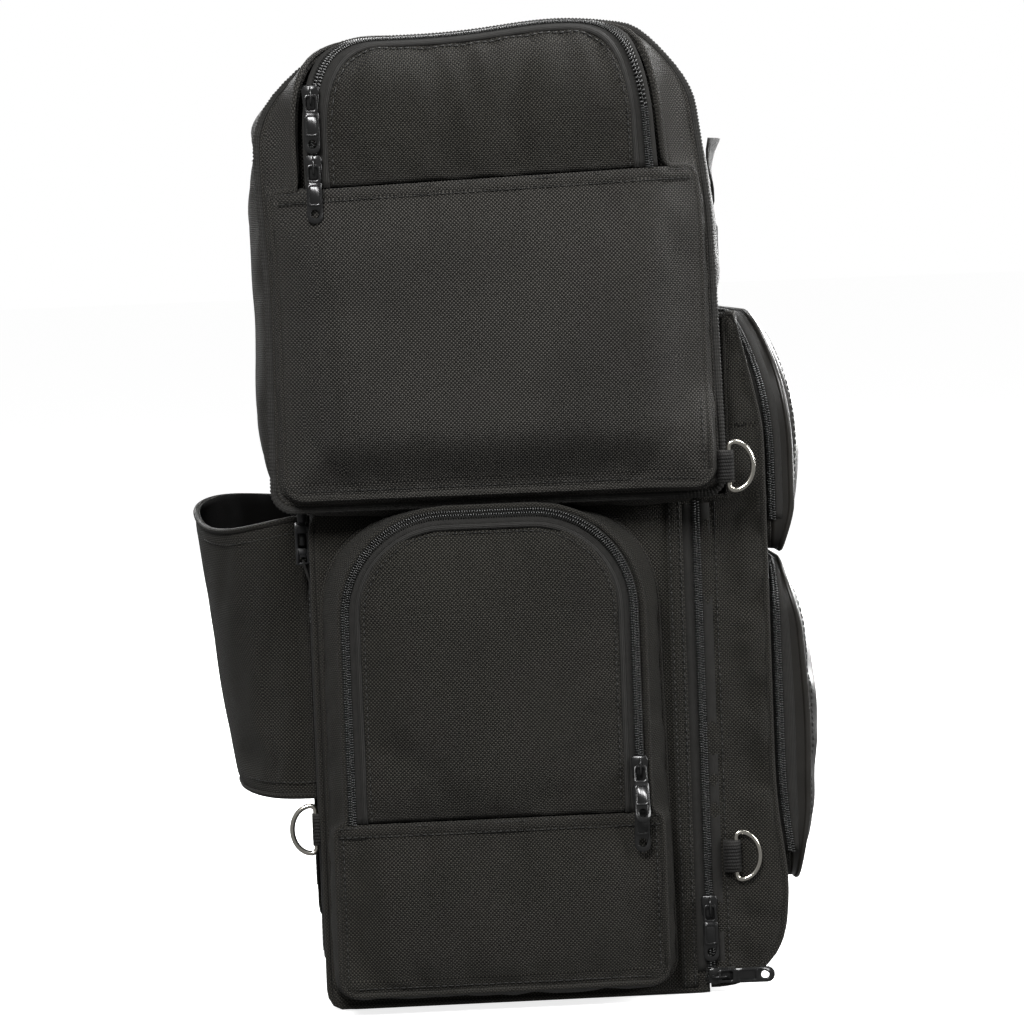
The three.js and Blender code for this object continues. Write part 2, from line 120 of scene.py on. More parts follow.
def make_studio():
    scene = bpy.context.scene
    scene.world = bpy.data.worlds.new("studio")
    scene.world.use_nodes = True
    sky = scene.world.node_tree.nodes["Background"]
    sky.inputs["Color"].default_value = (1, 1, 1, 1)
    sky.inputs["Strength"].default_value = SKY
    for light in LIGHTS:
        area_light(*light)
    scene.view_settings.view_transform = "Standard"
    flat = bpy.data.meshes.new("floor")
    corners = [(a * FLOOR_HALF, b * FLOOR_HALF, 0) for a, b in SQUARE]
    flat.from_pydata(corners, [], [(0, 1, 2, 3)])
    floor = stage_piece("floor", flat, FLOOR_GREY, FLOOR_GLOW)
    floor.location.z = -FLOOR_DROP
    globe = bpy.data.meshes.new("backdrop")
    shape = bmesh.new()
    bmesh.ops.create_uvsphere(shape, u_segments=48, v_segments=24, radius=DOME_RADIUS)
    shape.to_mesh(globe)
    shape.free()
    stage_piece("backdrop", globe, 0.0, 1.0).visible_shadow = False


# ---- materials ----
class Paint:
    """A node material with one Principled shader."""

    def __init__(self, name, rough=0.6, metal=0.0, specular=0.5, sheen=0.0, coat=0.0):
        self.material = bpy.data.materials.new(name)
        self.material.use_nodes = True
        self.tree = self.material.node_tree
        self.shader = self.tree.nodes["Principled BSDF"]
        for socket, value in (
            ("Roughness", rough),
            ("Metallic", metal),
            ("Specular IOR Level", specular),
            ("Sheen Weight", sheen),
            ("Sheen Roughness", 0.5),
            ("Coat Weight", coat),
            ("Coat Roughness", 0.25),
        ):
            self.shader.inputs[socket].default_value = value

    def put(self, value, socket):
        if isinstance(value, bpy.types.NodeSocket):
            self.tree.links.new(value, socket)
        else:
            socket.default_value = value

    def math(self, operation, *values):
        node = self.tree.nodes.new("ShaderNodeMath")
        node.operation = operation
        for value, socket in zip(values, node.inputs):
            self.put(value, socket)
        return node.outputs[0]

    def times(self, a, b):
        return self.math("MULTIPLY", a, b)

    def wave(self, steps):
        """From 0 up to 1 and back in each whole step."""
        return self.math("ABSOLUTE", self.math("SINE", self.times(steps, math.pi)))

    def uv(self, pitch):
        """The two cloth coordinates, counted in steps of pitch millimetres."""
        place = self.tree.nodes.new("ShaderNodeUVMap")
        place.uv_map = "cloth"
        split = self.tree.nodes.new("ShaderNodeSeparateXYZ")
        self.tree.links.new(place.outputs[0], split.inputs[0])
        steps = 1 / (pitch * MM)
        return self.times(split.outputs[0], steps), self.times(split.outputs[1], steps)

    def noise(self, scale, detail=3.0, rough=0.5):
        place = self.tree.nodes.new("ShaderNodeTexCoord")
        node = self.tree.nodes.new("ShaderNodeTexNoise")
        self.tree.links.new(place.outputs["Object"], node.inputs["Vector"])
        node.inputs["Scale"].default_value = scale
        node.inputs["Detail"].default_value = detail
        node.inputs["Roughness"].default_value = rough
        return node.outputs[0]

    def blend(self, share, low, high):
        node = self.tree.nodes.new("ShaderNodeMix")
        node.data_type = "RGBA"
        self.put(share, node.inputs[0])
        self.put((*low, 1) if isinstance(low, tuple) else low, node.inputs[6])
        self.put((*high, 1) if isinstance(high, tuple) else high, node.inputs[7])
        return node.outputs[2]

    def between(self, share, low, high):
        node = self.tree.nodes.new("ShaderNodeMapRange")
        self.put(share, node.inputs[0])
        node.inputs[3].default_value = low
        node.inputs[4].default_value = high
        return node.outputs[0]

    def finish(self, base, worn, patches, most, rough_by, rough_low, rough_high):
        """Colour, rubbed to the worn colour in patches along seams and edges, and roughness."""
        node = self.tree.nodes.new("ShaderNodeAttribute")
        node.attribute_name = "wear"
        rubbed = self.times(node.outputs["Fac"], self.between(patches, 0.0, most))
        self.put(self.blend(rubbed, base, worn), self.shader.inputs["Base Color"])
        self.put(self.between(rough_by, rough_low, rough_high), self.shader.inputs["Roughness"])

    def bump(self, height, depth, strength=1.0):
        """Adds relief of depth millimetres."""
        node = self.tree.nodes.new("ShaderNodeBump")
        node.inputs["Strength"].default_value = strength
        node.inputs["Distance"].default_value = depth * MM
        self.put(height, node.inputs["Height"])
        before = self.shader.inputs["Normal"].links
        if before:
            self.tree.links.new(before[0].from_socket, node.inputs["Normal"])
        self.tree.links.new(node.outputs[0], self.shader.inputs["Normal"])


def woven(name, pitch, dark, light, relief, rough, worn, specular=0.14):
    """Basket weave: each square of the cloth shows a warp or a weft yarn, in turn. Colour runs from dark in
    the gaps between yarns, painted shade, to light on the yarn crowns, painted sheen, which is weaker on weft
    yarns.
    """
    paint = Paint(name, specular=specular, sheen=0.03)
    u, v = paint.uv(pitch)
    across, along = paint.wave(u), paint.wave(v)
    square = paint.math("ADD", paint.math("FLOOR", u), paint.math("FLOOR", v))
    is_weft = paint.times(paint.math("FRACT", paint.times(square, 0.5)), 2)
    warp = paint.times(paint.math("SQRT", across), paint.math("MULTIPLY_ADD", along, 0.5, 0.5))
    weft = paint.times(paint.math("SQRT", along), paint.math("MULTIPLY_ADD", across, 0.5, 0.5))
    is_warp = paint.math("SUBTRACT", 1.0, is_weft)
    height = paint.math("ADD", paint.times(warp, is_warp), paint.times(weft, is_weft))
    cloud = paint.noise(14, 4.0)
    # Painted sheen on the yarn crowns and painted shade in the gaps between them, weaker on weft yarns; the
    # noise below adds random tone.
    sheen_and_tone = paint.times(height, paint.between(is_weft, 1.0, WEFT_PAINTED_SHEEN))
    sheen_and_tone = paint.times(sheen_and_tone, paint.between(paint.noise(900, 2.0), 0.7, 1.3))
    sheen_and_tone = paint.times(sheen_and_tone, paint.between(cloud, 0.6, 1.4))
    base = paint.blend(sheen_and_tone, dark, light)
    paint.finish(base, worn, paint.noise(160, 3.0), 0.75, height, min(rough + 0.15, 1.0), rough)
    paint.bump(height, relief)
    paint.bump(cloud, 0.5, 0.25)
    return paint.material


def coated_vinyl():
    paint = Paint("vinyl", rough=0.3, specular=0.4, coat=0.12)
    crease = paint.noise(60, 5.0, 0.6)
    base = paint.blend(paint.noise(9, 3.0), (0.006, 0.0055, 0.005), (0.013, 0.012, 0.010))
    paint.finish(base, (0.05, 0.047, 0.042), crease, 0.6, crease, 0.24, 0.42)
    paint.bump(paint.noise(1400, 4.0, 0.6), 0.12, 0.5)
    paint.bump(crease, 0.6, 0.3)
    return paint.material


def ribbed(name, pitch, dark, light, relief, rough):
    """Tape or webbing: ribs along the length and finer picks across it. Colour runs from dark between the
    ribs, painted shade, to light on their tops, painted sheen, with random tone.
    """
    paint = Paint(name, specular=0.18, sheen=0.03)
    u, v = paint.uv(pitch)
    pick = paint.wave(paint.math("ADD", paint.times(v, 1.6), paint.times(u, 0.5)))
    height = paint.times(paint.wave(u), paint.math("MULTIPLY_ADD", pick, 0.5, 0.5))
    # painted sheen on the rib tops and painted shade between them, with random tone
    sheen_and_tone = paint.times(height, paint.between(paint.noise(300, 3.0), 0.6, 1.3))
    base = paint.blend(sheen_and_tone, dark, light)
    worn = (0.06, 0.058, 0.054)
    paint.finish(base, worn, paint.noise(220, 3.0), 0.6, height, min(rough + 0.15, 1.0), rough)
    paint.bump(height, relief)
    return paint.material


def moulded(name, dark, light, rough, grain, coat=0.0):
    paint = Paint(name, specular=0.5, coat=coat)
    scuff = paint.noise(500, 5.0, 0.7)
    base = paint.blend(paint.noise(40, 3.0), dark, light)
    worn = tuple(3.5 * c for c in light)
    paint.finish(base, worn, scuff, 0.7, scuff, rough - 0.08, rough + 0.12)
    paint.bump(scuff, grain, 0.4)
    return paint.material


def plated(name, dark, light, rough, metal):
    paint = Paint(name, metal=metal, specular=0.5, coat=0.2)
    scratch = paint.noise(1500, 2.0, 0.7)
    base = paint.blend(paint.noise(90, 4.0), dark, light)
    worn = tuple(min(1.0, 1.5 * c + 0.05) for c in light)
    paint.finish(base, worn, scratch, 0.6, scratch, rough, rough + 0.16)
    paint.bump(scratch, 0.03, 0.3)
    return paint.material


def grey(value):
    return (value, value, value)


WEFT_PAINTED_SHEEN = 0.12  # painted sheen of a weft yarn, beside a warp yarn's 1
WEAVE_PITCH = 1.15
LINING_PITCH = 0.6
# The light colours are those of the yarn crowns, with painted sheen; the weave's gaps go to near black,
# painted shade.
NYLON_LIGHT = (0.088, 0.083, 0.074)
NYLON_WORN = (0.04, 0.038, 0.034)
# A darker copy of the nylon: painted shade on every body but the roll bag.
NYLON_SHADED_LIGHT = (0.056, 0.0525, 0.0435)
NYLON_SHADED_WORN = (0.035, 0.033, 0.03)
LINING_LIGHT = (0.016, 0.0155, 0.015)
# A near-black copy of the lining for inside the sleeve: painted shade in its opening.
SLEEVE_PAINTED_SHADE_LIGHT = (0.004, 0.0038, 0.0035)


def make_materials():
    jet = grey(0.001)
    return {
        "nylon": woven("nylon", WEAVE_PITCH, jet, NYLON_LIGHT, 0.75, 0.46, NYLON_WORN),
        "nylon_painted_shade": woven("nylon_painted_shade", WEAVE_PITCH, jet, NYLON_SHADED_LIGHT, 0.75, 0.5, NYLON_SHADED_WORN),
        "lining": woven("lining", LINING_PITCH, grey(0.004), LINING_LIGHT, 0.1, 0.75, grey(0.04), 0.07),
        "sleeve_lining_painted_shade": woven("sleeve_lining_painted_shade", LINING_PITCH, jet, SLEEVE_PAINTED_SHADE_LIGHT, 0.1, 0.8, grey(0.01), 0.02),
        "vinyl": coated_vinyl(),
        "webbing": ribbed("webbing", 2.1, grey(0.002), (0.020, 0.019, 0.018), 0.45, 0.55),
        "tape": ribbed("zip_tape", 0.7, grey(0.004), (0.022, 0.021, 0.019), 0.12, 0.6),
        "binding": ribbed("binding", 1.2, grey(0.004), (0.026, 0.025, 0.023), 0.2, 0.55),
        "coil": moulded("zip_coil", grey(0.004), (0.014, 0.014, 0.013), 0.26, 0.05, 0.3),
        "thread": moulded("thread", grey(0.004), (0.014, 0.0135, 0.012), 0.5, 0.1),
        "plastic": moulded("buckle_plastic", (0.008, 0.008, 0.009), (0.016, 0.016, 0.017), 0.38, 0.08),
        "board": moulded("board_plastic", (0.030, 0.030, 0.032), (0.045, 0.045, 0.047), 0.5, 0.15),
        "black_metal": plated("black_metal", grey(0.010), grey(0.030), 0.12, 0.6),
        "nickel": plated("nickel", (0.50, 0.47, 0.41), (0.66, 0.63, 0.57), 0.12, 1.0),
    }


make_camera()
make_studio()
PAINTS = make_materials()


# ---- lines ----
def unit(v):
    return v / max(np.linalg.norm(v), 1e-12)


def rounded(corners, steps=8):
    """A closed outline through (a, b, radius) corners, with an arc at each corner that has a radius."""
    points = []
    for i, (a, b, radius) in enumerate(corners):
        here = np.array([a, b], float)
        before = unit(np.array(corners[i - 1][:2], float) - here)
        after = unit(np.array(corners[(i + 1) % len(corners)][:2], float) - here)
        if radius <= 0:
            points.append(here)
            continue
        half = math.acos(float(np.clip(before @ after, -1, 1))) / 2
        centre = here + unit(before + after) * radius / math.sin(half)
        start = here + before * radius / math.tan(half) - centre
        end = here + after * radius / math.tan(half) - centre
        first = math.atan2(start[1], start[0])
        turn = math.atan2(start[0] * end[1] - start[1] * end[0], float(start @ end))
        for s in range(steps + 1):
            angle = first + turn * s / steps
            points.append(centre + radius * np.array([math.cos(angle), math.sin(angle)]))
    return np.array(points)


def arch(a0, a1, b0, b1, top, low=0):
    return rounded([(a0, b0, low), (a1, b0, low), (a1, b1, top), (a0, b1, top)])


def legs_over(a0, a1, b0, b1, radius, steps=10):
    """An open line up one leg, over the top with round corners, and down the other leg."""
    over = rounded([(a0, b1, radius), (a1, b1, radius), (a1, b0, 0), (a0, b0, 0)], steps)[:-2]
    return np.array([(a0, b0), *over, (a1, b0)])


def tapered(low, high, steps):
    """A four-sided outline about a = 0; low and high are (half width, b, corner radius) of its two ends."""
    (w0, b0, r0), (w1, b1, r1) = low, high
    return rounded([(-w0, b0, r0), (w0, b0, r0), (w1, b1, r1), (-w1, b1, r1)], steps)


def lengths(path):
    return np.concatenate([[0], np.cumsum(np.linalg.norm(np.diff(path, axis=0), axis=1))])


def spaced(path, step, closed=False):
    """The same line with points about a step apart."""
    path = np.vstack([path, path[:1]]) if closed else np.asarray(path, float)
    along = lengths(path)
    count = max(int(round(along[-1] / step)), 2)
    marks = np.linspace(0, along[-1], count + 1)
    made = np.array([[np.interp(m, along, path[:, k]) for k in range(path.shape[1])] for m in marks])
    return made[:-1] if closed else made


def eased(value, start, end):
    """0 before start, 1 after end, and smooth between them."""
    share = min(max((value - start) / (end - start), 0.0), 1.0)
    return share * share * (3 - 2 * share)


def swell(value, middle, half):
    return math.exp(-(((value - middle) / half) ** 2))


def on_x(x, outline):
    return np.array([(x, a, b) for a, b in outline])


def on_y(y, outline):
    return np.array([(a, y, b) for a, b in outline])


def on_z(z, outline):
    return np.array([(a, b, z) for a, b in outline])


def at_x(x):
    return lambda a, b: (x, a, b)


def swept_x(a, b, station):
    return station, a, b


def swept_y(a, b, station):
    return a, station, b


# ---- meshes ----
def grid(rows, ring, closed=False, wraps=False):
    """The quads between rows of ring points each. closed joins the ends of a row, wraps the rows."""
    faces = []
    for r in range(rows if wraps else rows - 1):
        ahead = ((r + 1) % rows - r) * ring
        for k in range(ring if closed else ring - 1):
            a, b = r * ring + k, r * ring + (k + 1) % ring
            faces.append((a, b, b + ahead, a + ahead))
    return faces


def caps(rows, ring):
    return [tuple(reversed(range(ring))), tuple(range((rows - 1) * ring, rows * ring))]


def box_uv(mesh):
    """Cloth coordinates in metres, laid on each face along the axis that it faces most."""
    layer = mesh.uv_layers.get("cloth") or mesh.uv_layers.new(name="cloth")
    for face in mesh.polygons:
        n = [abs(c) for c in face.normal]
        skip = n.index(max(n))
        keep = [k for k in (0, 1, 2) if k != skip]
        for i in face.loop_indices:
            co = mesh.vertices[mesh.loops[i].vertex_index].co
            layer.data[i].uv = (co[keep[0]], co[keep[1]])


def set_wear(mesh, values):
    made = mesh.attributes.get("wear") or mesh.attributes.new("wear", "FLOAT", "POINT")
    made.data.foreach_set("value", np.asarray(values, np.float32))


def make(name, verts, faces, paint, uvs=None, wear=None):
    """A mesh object from points in millimetres."""
    mesh = bpy.data.meshes.new(name)
    mesh.from_pydata([tuple(p) for p in np.asarray(verts, float) * MM], [], faces)
    mesh.update()
    obj = linked(name, mesh)
    mesh.polygons.foreach_set("use_smooth", [True] * len(mesh.polygons))
    mesh.materials.append(PAINTS[paint])
    obj["paint"] = paint
    obj["boxed"] = uvs is None
    if uvs is None:
        box_uv(mesh)
    else:
        layer = mesh.uv_layers.new(name="cloth")
        for loop in mesh.loops:
            layer.data[loop.index].uv = [c * MM for c in uvs[loop.vertex_index]]
    set_wear(mesh, wear if wear is not None else np.zeros(len(mesh.vertices)))
    return obj


RIGID = ("plastic", "black_metal", "nickel")
UNSHADED_BODIES = ("roll_bag", "roll_lid")  # their nylon stays plain; all other nylon gets the darker copy, painted shade
SOFT_PIECES = []


def place(obj, body, replaces=(), fill=None, settles=True):
    """Puts a finished piece on its body, gives nylon off the roll bag its darker copy with painted shade,
    queues it to settle unless it is rigid or told not to, and hides the model parts that it replaces.
    """
    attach(obj, body)
    # Off the roll bag, nylon is swapped for its darker copy: painted shade.
    if obj["paint"] == "nylon" and body not in UNSHADED_BODIES:
        obj.data.materials[0] = PAINTS["nylon_painted_shade"]
    if settles and obj["paint"] not in RIGID:
        SOFT_PIECES.append((obj, body))
    if replaces:
        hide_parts(*replaces)
    return obj


class Parts:
    """Points and faces of several solids that make up one piece."""

    def __init__(self):
        self.verts = []
        self.faces = []
        self.uvs = []
        self.wear = []

    def add(self, verts, faces, uvs=None, wear=0.0):
        start = len(self.verts)
        self.verts += [tuple(v) for v in verts]
        self.faces += [tuple(i + start for i in f) for f in faces]
        self.uvs += list(uvs) if uvs is not None else [(v[1], v[2]) for v in verts]
        self.wear += [wear] * len(verts)

    def make(self, name, paint, own_uv=False):
        return make(name, self.verts, self.faces, paint, self.uvs if own_uv else None, self.wear)


def frames_along(path, out, closed=False):
    """At each point: the way the line runs, the way the cloth faces, and the way across."""
    if closed:
        ahead = np.roll(path, -1, 0) - np.roll(path, 1, 0)
    else:
        ahead = np.gradient(path, axis=0)
    made = []
    facing_way = out(path, ahead) if callable(out) else np.broadcast_to(out, path.shape)
    for p, t, n in zip(path, ahead, facing_way):
        t = unit(t)
        n = unit(n - t * (n @ t))
        made.append((p, t, n, np.cross(n, t)))
    return made


RIDGES = (0.0, 0.7, 1.0, 0.7)


def tube(parts, path, radius, out, closed=False, sides=8, flat=1.0, ridge=0.0):
    """A round cord along a line; ridge makes each fourth ring of points stand up by that share."""
    rows = frames_along(path, out, closed)
    verts, uvs = [], []
    for i, ((p, _, n, b), s) in enumerate(zip(rows, lengths(path))):
        wide = radius * (1 + ridge * RIDGES[i % 4])
        for k in range(sides):
            turn = 2 * math.pi * k / sides
            verts.append(p + wide * (math.cos(turn) * b + flat * math.sin(turn) * n))
            uvs.append((radius * turn, s))
    faces = grid(len(rows), sides, True, closed)
    parts.add(verts, faces if closed else faces + caps(len(rows), sides), uvs, 0.6)


def strip(parts, rows, near, far, low, high):
    """A flat tape beside a line: from near to far across it, and from low to high out of the cloth."""
    verts, uvs = [], []
    middle = near + (far - near) / 2
    round_it = [(across, high) for across in (near, middle, far)]
    round_it += [(across, low) for across in (far, middle, near)]
    for (p, _, n, b), s in zip(rows, lengths(np.array([r[0] for r in rows]))):
        verts += [p + b * across + n * lift for across, lift in round_it]
        uvs += [(across, s) for across, _ in round_it]
    faces = grid(len(rows), len(round_it), True) + caps(len(rows), len(round_it))
    if far > near:
        faces = [tuple(reversed(f)) for f in faces]
    parts.add(verts, faces, uvs, 0.3)


STITCH_SUNK = 0.2
BAR = ((0, 3, 2, 1), (4, 5, 6, 7), (0, 1, 5, 4), (1, 2, 6, 5), (2, 3, 7, 6), (3, 0, 4, 7))


def bar(parts, start, end, half, tall, n, t, wear=0.2):
    """A small rod with a roof-shaped top, from start to end."""
    verts = []
    for p in (start, end):
        verts += [p - t * half, p + t * half, p + t * half * 0.6 + n * tall, p - t * half * 0.6 + n * tall]
    parts.add(verts, BAR, None, wear)


def stitches(parts, path, out, long=3.0, gap=1.3, closed=False):
    """Thread showing as a row of short dashes along a line."""
    for p, t, n, b in frames_along(spaced(path, long + gap, closed), out, closed):
        half = t * long / 2
        bar(parts, p - half - n * STITCH_SUNK, p + half - n * STITCH_SUNK, 0.33, 0.65, n, b, 0.35)


# ---- soft panels ----
def crossing(outline, b):
    """Where a level line enters and leaves an outline."""
    hits = []
    for p, q in zip(outline, np.roll(outline, -1, 0)):
        if (p[1] - b) * (q[1] - b) <= 0 and abs(q[1] - p[1]) > 1e-9:
            hits.append(p[0] + (q[0] - p[0]) * (b - p[1]) / (q[1] - p[1]))
    return min(hits), max(hits)


def levels(outline, step):
    """Heights for the rows of a panel, close together where its corners curve."""
    low, high = outline[:, 1].min(), outline[:, 1].max()
    made = [low + 0.02]
    for b in sorted(set(np.round(outline[:, 1], 3))) + [high]:
        while b - made[-1] > 1.6 * step:
            made.append(made[-1] + step)
        if b - made[-1] > 0.6:
            made.append(b)
    made[-1] = high - 0.02
    return made


def panel(outline, to3, step):
    """A grid of quads that fills an outline; to3 puts its two coordinates in space."""
    rows = levels(outline, step)
    width = outline[:, 0].max() - outline[:, 0].min()
    count = max(int(width / step), 4)
    verts = []
    for b in rows:
        a0, a1 = crossing(outline, b)
        verts += [to3(a0 + (a1 - a0) * c / count, b) for c in range(count + 1)]
    return np.array(verts, float), grid(len(rows), count + 1)


def band(outline, to3, stations, closed):
    """A sheet that follows an outline, swept through stations."""
    verts = [to3(a, b, s) for s in stations for a, b in outline]
    return np.array(verts, float), grid(len(stations), len(outline), closed)


def facing(verts, faces, outward):
    """The faces, all turned over if most of them look against what `outward` says at their middle."""
    total = 0.0
    for f in faces:
        p = verts[list(f)]
        total += np.cross(p[2] - p[0], p[3] - p[1]) @ outward(p.mean(0))
    return [tuple(f) if total > 0 else tuple(reversed(f)) for f in faces]


def seam_reach(obj, seams):
    """How far each point is from the panel's rim and from the given seam lines, in millimetres."""
    mesh = obj.data
    uses = {}
    for face in mesh.polygons:
        for key in face.edge_keys:
            uses[key] = uses.get(key, 0) + 1
    rim = {v for key, count in uses.items() if count == 1 for v in key}
    places = [mesh.vertices[v].co for v in rim]
    for line in seams:
        places += [Vector(p * MM) for p in spaced(np.asarray(line, float), 3)]
    tree = KDTree(len(places))
    for i, p in enumerate(places):
        tree.insert(p, i)
    tree.balance()
    return np.array([tree.find(v.co)[2] for v in mesh.vertices]) / MM


CLOTH_FRAMES = 18
CLOTH = {
    "quality": 5,
    "mass": 0.3,
    "tension_stiffness": 15,
    "compression_stiffness": 15,
    "bending_stiffness": 1.5,
    "air_damping": 2,
    "use_pressure": True,
    "vertex_group_mass": "sewn",
}


def cloth_moves(obj, pins, pressure, slack):
    """Blows the panel up as cloth that is held where it is sewn, and returns how far each point moved."""
    scene = bpy.context.scene
    rest = np.array([v.co for v in obj.data.vertices])
    group = obj.vertex_groups.new(name="sewn")
    for i, w in enumerate(pins):
        group.add([i], float(w), "REPLACE")
    mod = obj.modifiers.new("cloth", "CLOTH")
    for key, value in CLOTH.items():
        setattr(mod.settings, key, value)
    mod.settings.uniform_pressure_force = pressure
    mod.settings.shrink_min = -slack
    mod.settings.shrink_max = -slack
    mod.settings.effector_weights.gravity = 0.15
    mod.collision_settings.use_collision = False
    mod.point_cache.frame_start = 1
    mod.point_cache.frame_end = CLOTH_FRAMES
    for f in range(1, CLOTH_FRAMES + 1):
        scene.frame_set(f)
    blown = obj.evaluated_get(bpy.context.evaluated_depsgraph_get())
    ends = np.array([v.co for v in blown.to_mesh().vertices])
    blown.to_mesh_clear()
    obj.modifiers.remove(mod)
    obj.vertex_groups.remove(group)
    scene.frame_set(1)
    return ends - rest


def crowned_moves(obj, reach, cap):
    """The shape that the cloth takes, without the simulation."""
    normals = np.array([v.normal for v in obj.data.vertices])
    return normals * (cap * MM * 0.8 * (1 - np.exp(-reach / 28)))[:, None]


def capped(moves, cap):
    size = np.linalg.norm(moves, axis=1)
    limit = cap * MM
    return moves * (limit * np.tanh(size / limit) / np.maximum(size, 1e-9))[:, None]


def wrinkled(obj, reach, dents, puckers, seed):
    """Slow dents over the cloth and short puckers beside its seams."""
    offset = Vector((seed * 3.1, seed * 1.7, seed * 2.3))
    for v, r in zip(obj.data.vertices, reach):
        inside = 1 - math.exp(-r / 10)
        slow = noise.noise(v.co * 16 + offset) + 0.5 * noise.noise(v.co * 38 + offset)
        fast = noise.noise(v.co * 110 + offset)
        pull = math.exp(-r / 14) * (1 - math.exp(-r / 3))
        v.co += v.normal * MM * (dents * slow * inside + puckers * fast * pull)


SEWN_WIDE = 3.0  # the cloth is held this far from each seam


def soften(
    obj, seams=(), cap=6.0, pressure=6.0, slack=0.02, dents=1.2, puckers=0.9, seed=1,
    sim=True, free=None, limit=None,
):
    """Crowns, wrinkles and wears a panel between its seams. In millimetres, free(p) says how freely the cloth
    moves at a point, from 0 to 1, and limit(p) gives the nearest place that it may take."""
    reach = seam_reach(obj, seams)
    pins = np.clip(1 - (reach - SEWN_WIDE) / 4, 0, 1)
    if sim:
        moves = cloth_moves(obj, pins, pressure, slack)
    else:
        moves = crowned_moves(obj, reach, cap)
    moves = capped(moves, cap)
    loose = np.array([free(v.co / MM) if free else 1.0 for v in obj.data.vertices])
    for v, m, share in zip(obj.data.vertices, moves, loose):
        v.co += Vector(m) * share
    obj.data.update()
    wrinkled(obj, reach * loose, dents, puckers, seed)
    if limit:
        for v in obj.data.vertices:
            v.co = Vector(limit(v.co / MM)) * MM
    set_wear(obj.data, np.exp(-reach / 3.0))
    obj.data.update()
    return obj


def thickened(obj, thick, inside="lining"):
    """Subdivides the panel once and gives it its thickness, with lining on the inner face."""
    fine = obj.modifiers.new("fine", "SUBSURF")
    fine.levels = 1
    fine.render_levels = 1
    fine.uv_smooth = "NONE"
    wall = obj.modifiers.new("wall", "SOLIDIFY")
    wall.thickness = thick * MM
    wall.offset = -1
    obj.data.materials.append(PAINTS[inside])
    wall.material_offset = 1
    return obj


def soft_panel(name, outline, to3, out, paint="nylon", step=7, thick=4.0, **looks):
    verts, faces = panel(np.asarray(outline, float), to3, step)
    faces = facing(verts, faces, lambda p: np.array(out, float))
    obj = make(name, verts, faces, paint)
    return thickened(soften(obj, **looks), thick)


def soft_band(
    name, outline, to3, stations, outward, paint="nylon", thick=3.5, closed=False, keep=None, **looks
):
    verts, faces = band(outline, to3, stations, closed)
    faces = facing(verts, faces, outward)
    if keep is not None:
        faces = [f for f in faces if keep(verts[list(f)].mean(0))]
        used = sorted({i for f in faces for i in f})
        index = {old: new for new, old in enumerate(used)}
        verts = verts[used]
        faces = [tuple(index[i] for i in f) for f in faces]
    obj = make(name, verts, faces, paint)
    return thickened(soften(obj, **looks), thick)


def surface(obj):
    return BVHTree.FromObject(obj, bpy.context.evaluated_depsgraph_get())


def laid_on(path, out, tree, lift=0.0):
    """A line moved on to the surface behind it."""
    made = []
    for p, n in zip(path, np.broadcast_to(np.asarray(out, float), path.shape)):
        hit = tree.ray_cast(Vector((p + n * 25) * MM), Vector(-n), 50 * MM)[0]
        made.append(np.array(hit) / MM + n * lift if hit is not None else p + n * lift)
    return np.array(made)


# ---- pieces every zip, seam and strap shares ----
COIL_HALF = 2.6
TOOTH_STEP = 1.55


def laid_tape(name, rows, spans, body, paint="nylon"):
    """A flat tape beside a line; spans are near and far across it, and low and high out of the cloth."""
    parts = Parts()
    strip(parts, rows, *spans)
    return place(parts.make(name, paint, own_uv=paint != "nylon"), body)


def zip_half(name, path, out, side, body, tape):
    """One tape of a zip, tape wide, with its row of teeth. side is +1 or -1 across the line."""
    spans = (side * (COIL_HALF - 1.2), side * tape, -0.6, 0.5)
    laid_tape(f"{name}_tape", frames_along(spaced(path, 4.0), out), spans, body, "tape")
    teeth = Parts()
    for p, t, n, b in frames_along(spaced(path, TOOTH_STEP), out):
        foot = p + t * TOOTH_STEP * 0.25 * side + n * 0.25
        bar(teeth, foot - b * side * 0.35, foot + b * side * COIL_HALF, 0.52, 1.35, n, t)
    place(teeth.make(f"{name}_coil", "coil"), body)


def piping(name, lines, body, radius=1.7, closed=True, paint="nylon"):
    """Cord sewn into the seams; lines are (path, out)."""
    parts = Parts()
    for path, out in lines:
        tube(parts, spaced(path, 5, closed), radius, out, closed)
    return place(parts.make(name, paint, own_uv=True), body)


def seam_thread(name, lines, body, closed=False):
    """Rows of stitches; lines are (path, out)."""
    parts = Parts()
    for path, out in lines:
        stitches(parts, path, out, closed=closed)
    return place(parts.make(name, "thread"), body)


def ribbon(name, path, axis, width, thick, body, replaces=(), paint="webbing", twist=0.0, settles=True):
    """Flat webbing along a line, its width along an axis that turns by twist degrees about Z."""
    line = spaced(path, 4)
    along = lengths(line)
    verts, uvs = [], []
    section = [(a, -0.5) for a in (-0.5, -0.25, 0, 0.25, 0.5)]
    section += [(a, 0.5) for a, _ in reversed(section)]
    for p, t, s in zip(line, np.gradient(line, axis=0), along):
        turn = Matrix.Rotation(math.radians(twist) * (s / along[-1]) ** 1.5, 3, "Z")
        across = np.array(turn @ Vector(axis))
        n = unit(np.cross(across, t))
        for a, h in section:
            edge = 0.8 if abs(a) == 0.5 else 1.0
            verts.append(p + across * a * width + n * h * thick * edge)
            uvs.append((a * width, s))
    faces = grid(len(line), len(section), True) + caps(len(line), len(section))
    wear = [0.9 if abs(a) == 0.5 else 0.0 for a, _ in section] * len(line)
    obj = clean(make(name, verts, faces, paint, uvs, wear))
    return place(obj, body, replaces, settles=settles)


def clean(obj):
    """Makes every face of a closed piece look outwards."""
    bm = bmesh.new()
    bm.from_mesh(obj.data)
    bmesh.ops.recalc_face_normals(bm, faces=bm.faces)
    bm.to_mesh(obj.data)
    bm.free()
    return obj


